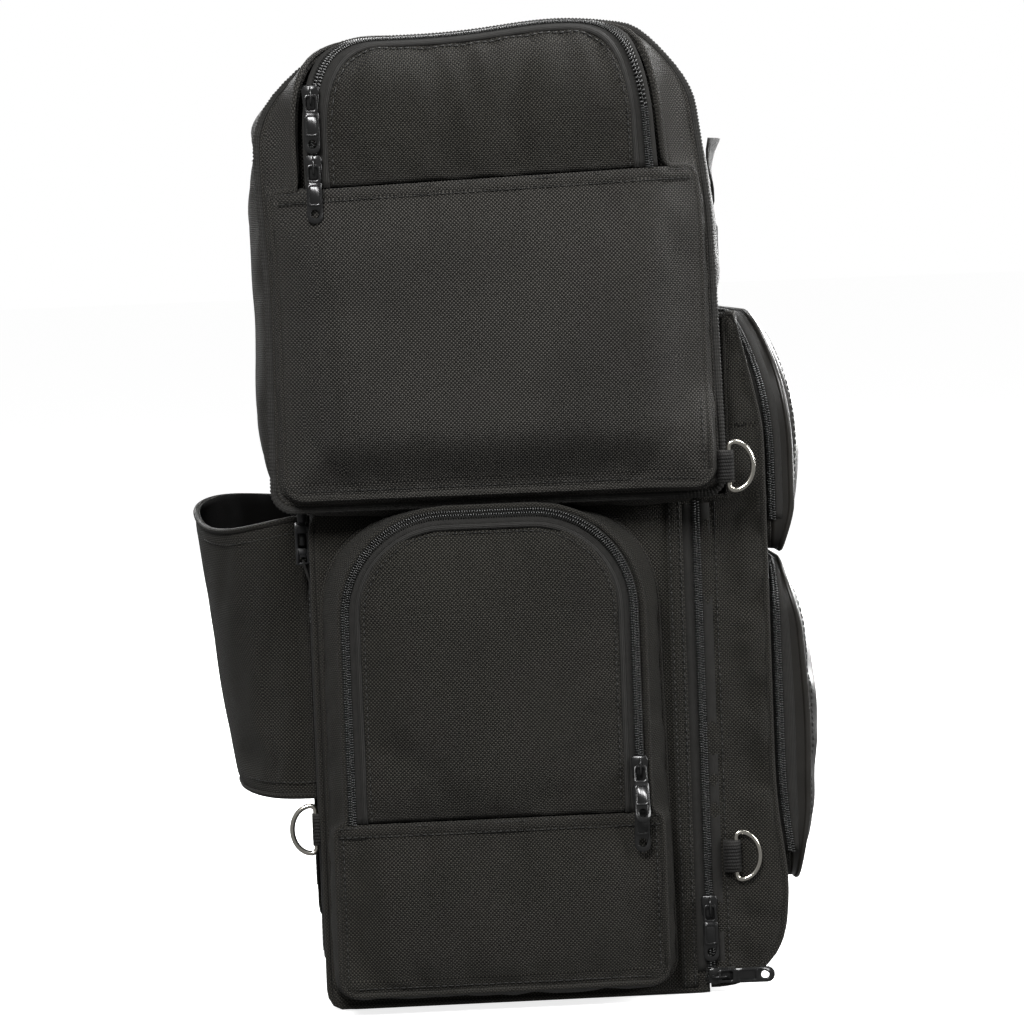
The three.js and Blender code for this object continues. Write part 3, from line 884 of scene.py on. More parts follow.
# ---- hardware ----
def drawn_at(at, across, along, out):
    """Puts a point of a drawing, with X across, Y along and Z out, where it goes in space."""
    basis = np.array([across, along, out], float).T
    return lambda p: np.asarray(at, float) + basis @ np.asarray(p, float)


def scaled_from_middle(points, by):
    """The outline with each point moved by millimetres away from the middle."""
    centre = points.mean(0)
    size = np.maximum(np.linalg.norm(points - centre, axis=1), 1e-6)[:, None]
    return points + (points - centre) / size * by


def slab(parts, outline, z0, z1, put, hole=None, round_edge=0.5):
    """A flat solid with softened edges, and a hole with as many points as its outline where one is given."""
    heights = ((z0, round_edge), (z0 + round_edge, 0), (z1 - round_edge, 0), (z1, round_edge))
    outline = np.asarray(outline, float)
    count = len(outline)
    verts = [put((*p, z)) for z, by in heights for p in scaled_from_middle(outline, -by)]
    faces = grid(4, count, True)
    if hole is None:
        faces += caps(4, count)
    else:
        start = len(verts)
        hole = np.asarray(hole, float)
        verts += [put((*p, z)) for z, by in heights for p in scaled_from_middle(hole, by * 0.6)]
        faces += [(start + b, start + a, start + d, start + c) for a, b, c, d in faces]
        for k in range(count):
            j = (k + 1) % count
            faces.append((j, k, start + k, start + j))
            top = 3 * count
            faces.append((top + k, top + j, start + top + j, start + top + k))
    parts.add(verts, faces, None, 0.25)


def even(outline, count):
    """The outline with `count` points, starting at its first."""
    line = np.vstack([outline, outline[:1]])
    along = lengths(line)
    marks = np.linspace(0, along[-1], count + 1)[:-1]
    return np.array([[np.interp(m, along, line[:, k]) for k in (0, 1)] for m in marks])


SLIDER_WIDTH = 11
SLIDER_LENGTH = 16
SLIDER_HOOP = (  # along the slider, and out
    (-3, 3.6), (-3, 5.6), (-2.2, 7), (-0.4, 7.7), (1.5, 7.8), (3.6, 7.5), (5.2, 6.6), (5.8, 5.2), (5.8, 3.6),
)
PULL_HEIGHT = 5.6  # of the pull's pivot above the cloth
PULL_ALONG = 1.5
PULL_LENGTH = 35
PULL_POINTS = 28  # round each of its outlines


def zip_slider(name, at, along, out):
    """A slider body with its two flanges and the arch that holds the pull."""
    along, out = np.array(along, float), np.array(out, float)
    across = np.cross(along, out)
    put = drawn_at(at, across, along, out)
    parts = Parts()
    w, h = SLIDER_WIDTH / 2, SLIDER_LENGTH / 2
    right = [(w - 2.4, -h, 1.6), (w, h - 3, 3), (w - 1.5, h, 1.2)]
    left = [(-a, b, r) for a, b, r in reversed(right)]
    plate = rounded([left[-1], *right, *left[:-1]], 4)
    slab(parts, plate, 2.6, 4.3, put)
    slab(parts, plate * 0.97, 0.3, 1.2, put, round_edge=0.3)
    for sign in (-1, 1):
        flange = ((w - 2.2, -h + 3), (w - 0.9, -h + 3.5), (w - 0.3, h - 4), (w - 1.6, h - 4))
        slab(parts, rounded([(sign * a, b, 0.4) for a, b in flange], 2), 1.0, 3.0, put, round_edge=0.2)
    slab(parts, tapered((1.3, h - 6, 0.8), (2.2, h - 0.8, 0.8), 3), 1.0, 3.0, put, round_edge=0.2)
    hoop = np.array([put((0, *p)) for p in SLIDER_HOOP])
    tube(parts, spaced(hoop, 0.8), 1.5, across, flat=0.45)
    return clean(parts.make(name, "black_metal"))


def zip_pull(name, at, along, out, lift):
    """A pull tab: an eye on the slider's arch, a waist, a recessed plate and a hole at its end."""
    along, out = np.array(along, float), np.array(out, float)
    across = np.cross(along, out)
    pivot = np.asarray(at, float) + along * PULL_ALONG + out * PULL_HEIGHT
    c, s = math.cos(math.radians(-lift)), math.sin(math.radians(-lift))
    put = drawn_at(pivot, across, along * c + out * s, out * c - along * s)
    parts = Parts()
    end = -PULL_LENGTH
    frame_shape = ((4.6, -10.5, 1.5), (3.8, 0.9, 1.6)), ((2.9, -8.6, 1.0), (2.6, -0.9, 0.8))
    blade = ((5, end, 4.6), (4.6, -9.4, 1.2)), ((2.4, end + 3.4, 2.2), (2.4, end + 8.6, 2.2))
    rim = ((4.1, end + 10.6, 1), (3.9, -11.2, 1)), ((2.9, end + 12, 0.8), (2.7, -12.6, 0.8))
    for (outer, hole), steps, z0, z1, soft in (
        (frame_shape, 5, -0.75, 0.75, 0.3),
        (blade, 6, -0.7, 0.7, 0.3),
        (rim, 5, 0.5, 1.15, 0.2),
        (rim, 5, -1.15, -0.5, 0.2),
    ):
        ring, cut = (even(tapered(*ends, steps), PULL_POINTS) for ends in (outer, hole))
        slab(parts, ring, z0, z1, put, cut, soft)
    return clean(parts.make(name, "black_metal"))


ZIPS = (  # name, place, way it runs, way it faces, lift of the pull in degrees
    ("main_zip_upper", (-175, -121, 54), UP, LEFT, 0),
    ("main_zip_lower", (-175, -127, 11), BACK, LEFT, 0),
    ("side_zip_left_upper", (-210, -77.5, 148), UP, LEFT, 17),
    ("side_zip_left_lower", (-210, -77.5, 130), UP, LEFT, 0),
    ("side_zip_right", (210, -77.5, 130), UP, RIGHT, 0),
    ("end_zip_left_upper", (-228, 108.5, 565), UP, LEFT, 0),
    ("end_zip_left_lower", (-228, 108.5, 523), UP, LEFT, 0),
    ("end_zip_right", (228, 108.5, 523), UP, RIGHT, 0),
    ("upper_pocket_zip", (160, -170.5, 300), UP, RIGHT, 0),
    ("lower_pocket_zip", (165, -170.5, 112), UP, RIGHT, 0),
    ("roll_zip", (161, 30, 600), BACK, UP, 0),
)


def make_sliders():
    for name, at, along, out, lift in ZIPS:
        slider, pull = f"{name}_slider", f"{name}_pull"
        place(zip_slider(f"{slider}_cast", at, along, out), slider, [slider])
        place(zip_pull(f"{pull}_cast", at, along, out, lift), pull, [pull])


RING_RADIUS = 14.9
RING_WIRE = 1.6
RING_BEND = 3.0
DOOR_RING = (178.4, -139, 86)  # the middle of each ring's bar, on the right side
REAR_RING = (166, 122.4, 113)
ROLL_RING = (213, -139, 332)
RINGS = (  # name, place, which way along Y it points, how far back its tab is sewn, body of the tab
    ("door", DOOR_RING, -1, 7.5, "door"),
    ("rear", REAR_RING, 1, 3.6, "main_bag"),
    ("roll", ROLL_RING, -1, 8, "roll_bag"),
)


def d_ring(name, at, bow):
    """A D of round wire: its bar stands along Z and its bow points along bow * Y."""
    x, y, z = at
    end = RING_RADIUS - RING_BEND
    quarter = np.linspace(0, math.pi / 2, 5)
    bend = [(y + bow * RING_BEND * (1 - math.cos(t)), z + end + RING_BEND * math.sin(t)) for t in quarter]
    half_turn = np.linspace(0.06, math.pi - 0.06, 28)
    curve = [(y + bow * (RING_BEND + end * math.sin(t)), z + RING_RADIUS * math.cos(t)) for t in half_turn]
    low = [(a, 2 * z - b) for a, b in reversed(bend)]
    outline = np.array([(y, z), (y, z + end), *bend[1:], *curve, *low[:-1], (y, z - end)])
    parts = Parts()
    tube(parts, on_x(x, spaced(outline, 1.5, True)), RING_WIRE, np.array([1.0, 0, 0]), True, 12)
    return clean(parts.make(name, "nickel"))


def ring_tab(name, at, bow, root, body):
    """A webbing loop round the ring's bar, sewn flat to the cloth behind it."""
    x, y, z = at
    loop = RING_WIRE + 1.0
    back, neck = y - bow * root, y - bow * 4
    turns = np.linspace(-math.pi / 2, math.pi / 2, 9)
    front = [(x + loop * math.sin(t), y + bow * loop * math.cos(t)) for t in turns]
    outline = [(x - 0.9, back), (x - loop, neck), *front, (x + loop, neck), (x + 0.9, back)]
    return ribbon(name, [(a, b, z) for a, b in outline], UP, 20, 1.3, body, settles=False)


def make_rings():
    for side, sign in SIDES:
        for name, (x, y, z), bow, _, _ in RINGS:
            node = f"{name}_ring_{side}"
            place(d_ring(f"{node}_wire", (sign * x, y, z), bow), node, [node])
        for name, (x, y, z), bow, root, body in RINGS:
            ring_tab(f"{name}_ring_tab_{side}", (sign * x, y, z), bow, root, body)


BUCKLE_DEEP = 9
BUCKLE_POINTS = 40  # round the outlines of its holed plates
SOCKET_TALL = 25.7
FRONT_BUCKLE = (110, -142.5, 455.3)
REAR_BUCKLE = (140, 123.5, 277.3)


def buckle_socket(name, at, body, node):
    """The female half: a hollow body with side windows that show the prongs, and a bar for the webbing."""
    put = drawn_at(at, RIGHT, UP, FRONT)
    parts = Parts()
    deep = BUCKLE_DEEP / 2
    waist = [(13.6, 8.5, 1.5), (12.2, 11, 1.5), (12.2, 18.5, 1.5), (13.8, 20.5, 1.5)]
    right = [(12.5, 0, 2.5), *waist, (13.4, SOCKET_TALL, 1.6)]
    left = [(-a, b, r) for a, b, r in reversed(right)]
    outer = even(rounded([left[-1], *right, *left[:-1]], 4), BUCKLE_POINTS)
    slot = even(tapered((10, 1.8, 0.8), (10, 5.2, 0.8), 4), BUCKLE_POINTS)
    slab(parts, outer, deep - 2.2, deep, put, slot, 0.8)
    slab(parts, outer, -deep, -deep + 2.2, put, slot, 0.8)
    walls = (
        ((12.2, 7), (13.2, 7), (12.4, 11), (11.4, 11)),
        ((11.4, 19.5), (13.6, 20.5), (13.2, SOCKET_TALL - 0.3), (11.2, SOCKET_TALL - 0.3)),
    )
    for sign in (-1, 1):
        for wall in walls:
            outline = rounded([(sign * a, b, 0.5) for a, b in wall], 2)
            slab(parts, outline, -deep + 1, deep - 1, put, round_edge=0.2)
    slab(parts, tapered((8, 8, 1.5), (7, 20, 3), 4), deep - 0.3, deep + 0.5, put, round_edge=0.3)
    for low, high in (((12, 0.3, 1), (12, 1.9, 0.5)), ((12, 5.1, 0.5), (12, 7.2, 0.5))):
        slab(parts, tapered(low, high, 3), -deep + 1, deep - 1, put, round_edge=0.3)
    return place(clean(parts.make(name, "plastic")), body, [node])


PRONG = (  # corners with their radii
    (7.2, 1, 0.5), (7.6, -9, 1.5), (9.6, -15.5, 1.2), (12.2, -13.5, 1),
    (12.6, -8.5, 1), (10.4, -6.5, 1), (9.6, 1, 0.5),
)


def buckle_plug(name, at, body, node):
    """The male half: two springy prongs, a guide between them, and a slotted frame with grips."""
    put = drawn_at(at, RIGHT, UP, FRONT)
    parts = Parts()
    low = SOCKET_TALL + 0.6
    shape = even(tapered((13, low, 1.5), (12.4, low + 11, 2.5), 5), BUCKLE_POINTS)
    slot = even(tapered((10.2, low + 5.8, 0.8), (10.2, low + 8.6, 0.8), 5), BUCKLE_POINTS)
    slab(parts, shape, -2.6, 2.6, put, slot, 0.9)
    for sign in (-1, 1):
        prong = rounded([(sign * a, low + b, r) for a, b, r in PRONG], 3)
        slab(parts, prong, -1.7, 1.7, put, round_edge=0.4)
    slab(parts, tapered((1.6, low - 16, 1), (2, low + 1, 0.5), 3), -1.5, 1.5, put, round_edge=0.4)
    for step in range(3):
        b = low + 1.4 + 1.4 * step
        slab(parts, tapered((9, b, 0.3), (9, b + 0.7, 0.3), 2), 2.3, 3.0, put, round_edge=0.2)
    return place(clean(parts.make(name, "plastic")), body, [node])


def outward_across(path, ahead):
    """For a line in a plane of constant Y that goes up on the left, over, and down on the right."""
    return np.array([(-t[2], 0, t[0]) for t in ahead])


# ---- main bag ----
MAIN_HALF = 175
MAIN_FRONT = -120
MAIN_BACK = 118
MAIN_TOP = 312
MAIN_ROUND = 12
DOOR_LINE = -121  # the main zip's middle
BOARD_BEVEL = 0.8
MAIN_SPAN = np.linspace(-MAIN_HALF + 1, MAIN_HALF - 1, 40)
PIPING_LOW = 2.1


def make_main():
    back = [(MAIN_BACK, 0, MAIN_ROUND), (MAIN_BACK, MAIN_TOP, MAIN_ROUND)]
    outline = rounded([(MAIN_FRONT, 0, 0), *back, (MAIN_FRONT, MAIN_TOP, 0)], 6)
    wrap = soft_band(
        "main_body", spaced(outline, 9), swept_x, MAIN_SPAN,
        lambda p: np.array((0, p[1], p[2] - MAIN_TOP / 2)),
        cap=2.0, sim=False, dents=1.0, puckers=0.8, seed=2,
        free=lambda p: 0.0 if p[2] < 8 else 0.6,
        limit=lambda p: (p[0], min(p[1], MAIN_BACK), max(p[2], 0.0)),
    )
    place(wrap, "main_bag", ["main_shell"], 0.5)
    for side, sign in SIDES:
        main_side(side, sign, outline)
    paint_board(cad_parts["stiffener_board"])


def main_side(side, sign, outline):
    """One side wall, with its piping and the facing of the main zip."""
    x = sign * MAIN_HALF
    out = np.array((sign, 0.0, 0.0))
    wall = soft_panel(
        f"main_side_{side}", outline, at_x(x), out,
        step=9, cap=0.6, sim=False, dents=0.5, puckers=0.6, seed=3 + sign,
    )
    place(wall, "main_bag", (), 0.5)
    rim = on_x(x - sign * 1.0, spaced(outline, 4))
    rim[:, 2] = np.maximum(rim[:, 2], PIPING_LOW)
    piping(f"main_side_piping_{side}", [(rim, out)], "main_bag", 2.0, closed=False)
    edge = frames_along(spaced([(x, DOOR_LINE, 4), (x, DOOR_LINE, MAIN_TOP - 2)], 5), out)
    laid_tape(f"main_zip_facing_{side}", edge, (-sign * 8.5, -sign * 18, -0.5, 1.2), "main_bag")
    lines = [np.array([(x, y, 6), (x, y, MAIN_TOP - 4)]) for y in (DOOR_LINE + 10.2, DOOR_LINE + 16.4)]
    seam_thread(f"main_zip_thread_{side}", [(line + out * 1.2, out) for line in lines], "main_bag")


def paint_board(board):
    board.data.materials.clear()
    board.data.materials.append(PAINTS["board"])
    edge = board.modifiers.new("bevel", "BEVEL")
    edge.width = BOARD_BEVEL * MM
    edge.segments = 2
    edge.limit_method = "ANGLE"
    edge.angle_limit = math.radians(35)


def main_zip():
    path = on_y(DOOR_LINE, legs_over(-MAIN_HALF - 0.3, MAIN_HALF + 0.3, 14, MAIN_TOP - 0.2, 7))
    for part, across, body in (("back", 1, "main_bag"), ("front", -1, "door")):
        zip_half(f"main_zip_{part}", path, outward_across, across, body, tape=9)
    tail = [(-MAIN_HALF - 0.7, -127 + d, 11) for d in (-9, 0, 9)]
    for part, across in (("upper", 1), ("lower", -1)):
        zip_half(f"main_zip_tail_{part}", tail, np.array((-1.0, 0, 0)), across, "main_bag", tape=5)


# ---- pockets with a U-shaped zip, on the sides and on the roll bag's ends ----
GUSSET_CURVE = 1.7  # how fully the wall of a pocket bows before it turns in to the face


def shouldered(p):
    """A pocket's outline: wide up to its shoulder, and then set in to carry the zip."""
    left, right = (
        [(low, p.bottom, 10), (low, p.shoulder, 6), (high, p.shoulder + 1, 0), (high, p.top, p.round_top)]
        for low, high in zip(p.low, p.high)
    )
    return rounded([left[0], *right, *reversed(left[1:])], 7)


def spread(outline, wide):
    """For each point of an outline, the point of a wider one that lies beyond it, seen from the middle."""
    middle = (wide.min(0) + wide.max(0)) / 2
    made = {}
    for p in outline:
        d = p - middle
        best = 1.0
        for q, r in zip(wide, np.roll(wide, -1, 0)):
            e = r - q
            det = d[0] * -e[1] + d[1] * e[0]
            if abs(det) < 1e-9:
                continue
            w = q - middle
            t = (w[0] * -e[1] + w[1] * e[0]) / det
            u = (d[0] * w[1] - d[1] * w[0]) / det
            if t > 0 and -1e-6 <= u <= 1 + 1e-6:
                best = max(best, t)
        made[tuple(p)] = middle + d * best
    return made


def u_pocket(name, flap, body, side, sign, p):
    """One pocket: gusset, plain lower panel with a hem, arched flap, zip, piping and thread."""
    out = np.array((sign, 0.0, 0.0))
    x = sign * p.face
    pocket_walls(name, body, side, sign, p, out)
    track = on_x(x, legs_over(*p.legs, p.shoulder + 1, p.leg_top, p.leg_round, 12))
    lid = f"{flap}_{side}"
    outer_tape = min(p.high[1] - p.legs[1], p.top - p.leg_top + 3) - 0.3
    zip_half(f"{name}_zip_outer_{side}", track, out, sign, body, outer_tape)
    zip_half(f"{name}_zip_inner_{side}", track, out, -sign, lid, 9.5)
    inset = 7.0
    cut = arch(p.legs[0] + inset, p.legs[1] - inset, p.shoulder + 1, p.leg_top - inset, p.leg_round - inset)
    cloth = soft_panel(
        f"{flap}_cloth_{side}", cut, at_x(x), out,
        cap=p.cap_flap, seed=p.seed + 4 * sign + 2, pressure=p.pressure, slack=0.04, dents=2.0, puckers=1.3,
    )
    place(cloth, lid, [lid], 0.6)
    spans = (-sign * 6.4, -sign * 9.8, -0.8, 1.6)
    laid_tape(f"{flap}_binding_{side}", frames_along(spaced(track, 5), out), spans, lid, "binding")
    inset = 12
    line = legs_over(
        p.legs[0] + inset, p.legs[1] - inset, p.shoulder + 3, p.leg_top - inset, p.leg_round - inset, 12
    )
    line = laid_on(spaced(on_x(x, line), 4), out, surface(cloth), 0.3)
    seam_thread(f"{flap}_thread_{side}", [(line, out)], lid)


def pocket_walls(name, body, side, sign, p, out):
    """The part of a pocket that stays on the bag."""
    x = sign * p.face
    root = sign * p.root
    outline = shouldered(p)
    wide = rounded(p.foot, 8)
    middle = np.array((0, sum(p.low) / 2, (p.bottom + p.top) / 2))
    ring = spaced(outline, 7, True)
    behind = spread(ring, wide)

    def sloped(a, b, share):
        across = behind[(a, b)] + (np.array((a, b)) - behind[(a, b)]) * share**GUSSET_CURVE
        return (sign * (p.root + (p.face - p.root) * share), *across)

    stations = np.linspace(0, 1, max(int((p.face - p.root) / 5), 3) + 1)
    gusset = soft_band(
        f"{name}_gusset_{side}", ring, sloped, stations, lambda q: (q - middle) * np.array((0, 1, 1)),
        closed=True, cap=p.cap_gusset, pressure=8, puckers=1.1, seed=p.seed + 4 * sign + 1,
    )
    place(gusset, body, [f"{name}_{side}"], 0.55)
    (y0, y1), z0, z1 = p.low, p.bottom, p.shoulder
    cut = rounded([(y0, z0, 10), (y1, z0, 10), (y1, z1, 6), (y0, z1, 6)], 7)
    front = soft_panel(
        f"{name}_panel_{side}", cut, at_x(x), out,
        cap=p.cap_panel, seed=p.seed + 4 * sign, pressure=p.pressure, slack=0.04, dents=2.0, puckers=1.4,
    )
    place(front, body, (), 0.6)
    skin = surface(front)
    line = np.array([(x, a, z1 - 4.2) for a in np.linspace(y0 + 3.5, y1 - 3.5, 60)])
    laid_tape(f"{name}_hem_{side}", frames_along(laid_on(line, out, skin), out), (-4.6, 4.6, -1.2, 0.7), body)
    thread = [(laid_on(line + np.array((0, 0, up)), out, skin, 0.6), out) for up in (-3.0, 2.6)]
    seam_thread(f"{name}_hem_thread_{side}", thread, body)
    edges = [[(a, b) for b in np.linspace(z0 + 12, z1 - 10, 40)] for a in (y0 + 4.5, y1 - 4.5)]
    edges.append([(a, z0 + 4.5) for a in np.linspace(y0 + 12, y1 - 12, 50)])
    thread = [(laid_on(on_x(x, edge), out, skin, 0.3), out) for edge in edges]
    seam_thread(f"{name}_edge_thread_{side}", thread, body)
    rims = [(on_x(x - sign * 0.4, outline), out), (on_x(root + sign * 1.2, wide), out)]
    piping(f"{name}_piping_{side}", rims, body, 1.8)


# Sizes of the pockets: root and face along X, the rest along Y and Z. foot holds corners with radii.
SIDE_POCKET = SimpleNamespace(
    root=175.3, face=210, foot=((-99, 8, 16), (115, 8, 12), (113, 311, 62), (-94, 311, 62)),
    low=(-91, 111), high=(-84, 104), bottom=14, shoulder=120, top=313, round_top=66,
    legs=(-77.5, 100.5), leg_top=309.3, leg_round=62,
    cap_gusset=5, cap_panel=8, cap_flap=10, pressure=10, seed=11,
)
END_POCKET = SimpleNamespace(
    root=200.3, face=228, foot=((-133, 319, 12), (142, 319, 12), (138, 597, 64), (-128, 597, 46)),
    low=(-127, 137), high=(-108, 120), bottom=322, shoulder=513, top=596, round_top=45,
    legs=(-96.5, 108.5), leg_top=593.0, leg_round=44,
    cap_gusset=5, cap_panel=11, cap_flap=12, pressure=12, seed=31,
)


def make_pockets(name, flap, body, sizes):
    for side, sign in SIDES:
        u_pocket(name, flap, body, side, sign, sizes)


# ---- front door and its pockets ----
DOOR_FRONT = -164
DOOR_TOP = 425
DOOR_LEDGE = -142
DOOR_SHELF = 311


def make_door():
    corners = [
        (DOOR_LINE, 5, 0),
        (DOOR_FRONT, 5, 36),
        (DOOR_FRONT, DOOR_TOP - 70, 30),
        (DOOR_FRONT + 7, DOOR_TOP, 8),
        (DOOR_LEDGE, DOOR_TOP, 4),
        (DOOR_LEDGE, DOOR_SHELF + 0.5, 0),
        (DOOR_LINE, DOOR_SHELF - 0.5, 0),
    ]
    outline = rounded(corners, 6)
    wrap = soft_band(
        "door_body", spaced(outline, 8), swept_x, np.linspace(-MAIN_HALF + 1, MAIN_HALF - 1, 44),
        lambda p: np.array((0, -1.0, 0)) if p[1] < DOOR_FRONT + 3 else np.zeros(3),
        cap=1.5, sim=False, dents=0.6, seed=41, limit=lambda p: (p[0], p[1], max(p[2], 2.0)),
    )
    place(wrap, "door", ["front_door"], 0.5)
    for side, sign in SIDES:
        x = sign * MAIN_HALF
        out = np.array((sign, 0.0, 0.0))
        wall = soft_panel(
            f"door_side_{side}", outline, at_x(x), out,
            step=6, cap=7, pressure=9, slack=0.08, dents=4.0, puckers=3.4, seed=43 + sign,
            seams=[[(x, DOOR_LINE - 15, 12), (x, DOOR_LINE - 15, DOOR_SHELF - 4)]],
            free=lambda p: eased(math.hypot(p[1] - DOOR_RING[1], p[2] - DOOR_RING[2]), 17, 42),
        )
        place(wall, "door", (), 0.55)
        rim = on_x(x - sign * 0.8, spaced(outline, 4))
        piping(f"door_side_piping_{side}", [(rim, out)], "door", 1.9, closed=False)
        line = np.array([(x, DOOR_LINE - 12, z) for z in np.linspace(18, DOOR_SHELF - 4, 80)])
        seam_thread(f"door_zip_thread_{side}", [(laid_on(line, out, surface(wall), 0.2), out)], "door")


POCKET_ZIP = -170.5
POCKET_RIM = -184
FRONT_POCKETS = (  # name, half width, bottom, top, top corners, lower corners
    ("upper", 160, 275, 424, 70, 16),
    ("lower", 165, 66, 268, 34, 30),
)


def make_front_pockets():
    for seed, pocket in enumerate(FRONT_POCKETS):
        front_pocket(seed, *pocket)


def front_pocket(seed, name, half, bottom, top, round_top, round_low):
    """A pouch on the door, and its glossy cover, which hinges at its lower edge."""
    out = np.array((0.0, -1.0, 0.0))
    body = f"{name}_cover"
    outline = arch(-half, half, bottom, top, round_top, round_low)
    middle = np.array((0, 0, (bottom + top) / 2))
    radial = lambda p: (p - middle) * np.array((1, 0, 1))
    ring = spaced(outline, 7, True)
    pouch = soft_band(
        f"{name}_pocket_gusset", ring, swept_y, np.linspace(DOOR_FRONT - 0.3, POCKET_ZIP, 3), radial,
        closed=True, thick=2.5, cap=0.6, sim=False, dents=0.3, puckers=0.4, seed=51 + seed,
    )
    place(pouch, "door", [f"{name}_pocket"], 0.5)
    cover = soft_band(
        f"{name}_cover_gusset", ring, swept_y, np.linspace(POCKET_ZIP - 0.4, POCKET_RIM, 4), radial,
        paint="vinyl", closed=True, thick=2.5, cap=1.6, sim=False, dents=0.6, puckers=0.9, seed=53 + seed,
    )
    place(cover, body, [f"{name}_pocket_cover"], 0.5)
    face = soft_panel(
        f"{name}_cover_face", outline, lambda a, b: (a, POCKET_RIM, b), out, paint="vinyl", step=8,
        cap=11, pressure=9, slack=0.03, dents=2.0, puckers=1.5, seed=55 + seed, thick=3.0,
    )
    place(face, body, (), 0.65)
    piping(f"{name}_cover_piping", [(on_y(POCKET_RIM + 0.5, outline), out)], body, 1.9, paint="vinyl")
    inside = arch(-half + 6, half - 6, bottom + 6, top - 6, round_top - 6, round_low - 6)
    line = laid_on(on_y(POCKET_RIM, spaced(inside, 4, True)), out, surface(face), -0.1)
    seam_thread(f"{name}_cover_thread", [(line, out)], body, True)
    piping(f"{name}_pocket_piping", [(on_y(DOOR_FRONT - 0.8, outline), out)], "door", 1.6)
    track = on_y(POCKET_ZIP, legs_over(-half - 0.3, half + 0.3, bottom + 20, top + 0.3, round_top, 14))
    zip_half(f"{name}_pocket_zip_back", track, outward_across, 1, "door", tape=5.8)
    zip_half(f"{name}_pocket_zip_front", track, outward_across, -1, body, tape=7.5)


# ---- roll bag ----
ROLL_HALF = 200
ROLL_TOP = 600
ROLL_LOW = 315
ROLL_ZIP_X = 161
ROLL_ZIP_FRONT = -81
LID_REAR = 61.4
RIB_STEP = 2.2


def roll_outline():
    return rounded([(-137, ROLL_LOW, 12), (145, ROLL_LOW, 12), (141, ROLL_TOP, 66), (-131, ROLL_TOP, 48)], 10)


END_DEEP = 28  # the end pocket's face stands this far out from the roll
WRAP_START = 553
WRAP_LONG = 43
WRAP_TALL = 47
WRAP_IN = 24


def end_wrapped(beyond, y, z, side):
    """Bends the top of an end pocket over, so that its zip runs along the roll's top edge, and brings
    the lower panel in towards the seam round its other edges."""
    turn = math.radians(88) * min(max((z - WRAP_START) / WRAP_LONG, 0.0), 1.1)
    proud = max(beyond - END_DEEP, 0)
    share = min(beyond / END_DEEP, 1.0)
    face_x = END_DEEP - WRAP_IN + (WRAP_IN + proud) * math.cos(turn)
    face_z = z if turn == 0 else WRAP_START + (WRAP_TALL + proud) * math.sin(turn)
    rim = min(y + 131, 141 - y, z - 318)
    from_ring = math.hypot(y - ROLL_RING[1], z - ROLL_RING[2])
    low = 0.62 * eased(from_ring, 14, 60) * (1 - eased(rim, 0, 46 - 16 * eased(z, 430, 500)))
    return side * (ROLL_HALF + share * face_x * (1 - low)), z + share * (face_z - z)


def roll_settled(p):
    """The full roll bag at rest: its ends lean in at the top, and it falls away from a hump in front."""
    x, y, z = p
    high = eased(z, 535, 600)
    beyond = abs(x) - ROLL_HALF
    if beyond > 0:
        x, z = end_wrapped(beyond, y, z, math.copysign(1, x))
    z += 7 * eased(abs(x), 172, 196) * eased(z, 560, 600) * swell(y, -45, 50)
    z -= 0.03 * y * swell(z, 508, 36) * eased(beyond, 0, 10)
    z -= high * (9 * eased(y, 70, 141) + 5 * eased(-y, 90, 131))
    y += 9 * eased(-y, 60, 131) * eased(z, 470, 600)
    y -= 5 * eased(y, 90, 141) * (1 - eased(z, 430, 540))
    return x, y, z


def front_settled(p):
    """The door and its pockets: the top leans back, and each pocket is fullest at its middle."""
    x, y, z = p
    lean = min(max((z - 335) / 90, 0.0), 1.0) ** 2
    proud = eased(-y, 172, 184)
    moved = 18 * lean * eased(-y, 142, 175)
    moved -= 6 * swell(z, 66, 40) * eased(-y, 145, 164)
    if z > 271.5:
        moved += 7 * (1 - eased(z, 272, 306)) * proud
    else:
        moved += proud * (7 * eased(z, 225, 268) + 9 * (1 - eased(z, 66, 120)) - 5 * swell(z, 165, 60))
    return x, y + moved, z


SETTLED = dict.fromkeys(("roll_bag", "roll_lid", "end_flap_left", "end_flap_right"), roll_settled)
SETTLED |= dict.fromkeys(("door", "upper_cover", "lower_cover"), front_settled)


def settle():
    """Gives the soft pieces of a filled bag the shape that it slumps to."""
    for obj, body in SOFT_PIECES:
        if body in SETTLED:
            for v in obj.data.vertices:
                v.co = Vector(SETTLED[body](v.co / MM)) * MM
            obj.data.update()
            if obj["boxed"]:
                box_uv(obj.data)


def roll_limit(p):
    """Keeps the cloth clear of the main bag's roof below it and of the straps and door in front."""
    x, y, z = p
    if abs(x) < 180 and z < 330:
        z = max(z, ROLL_LOW - 1.2)
    if z < 440:
        y = max(y, -138.2)
    return x, y, z


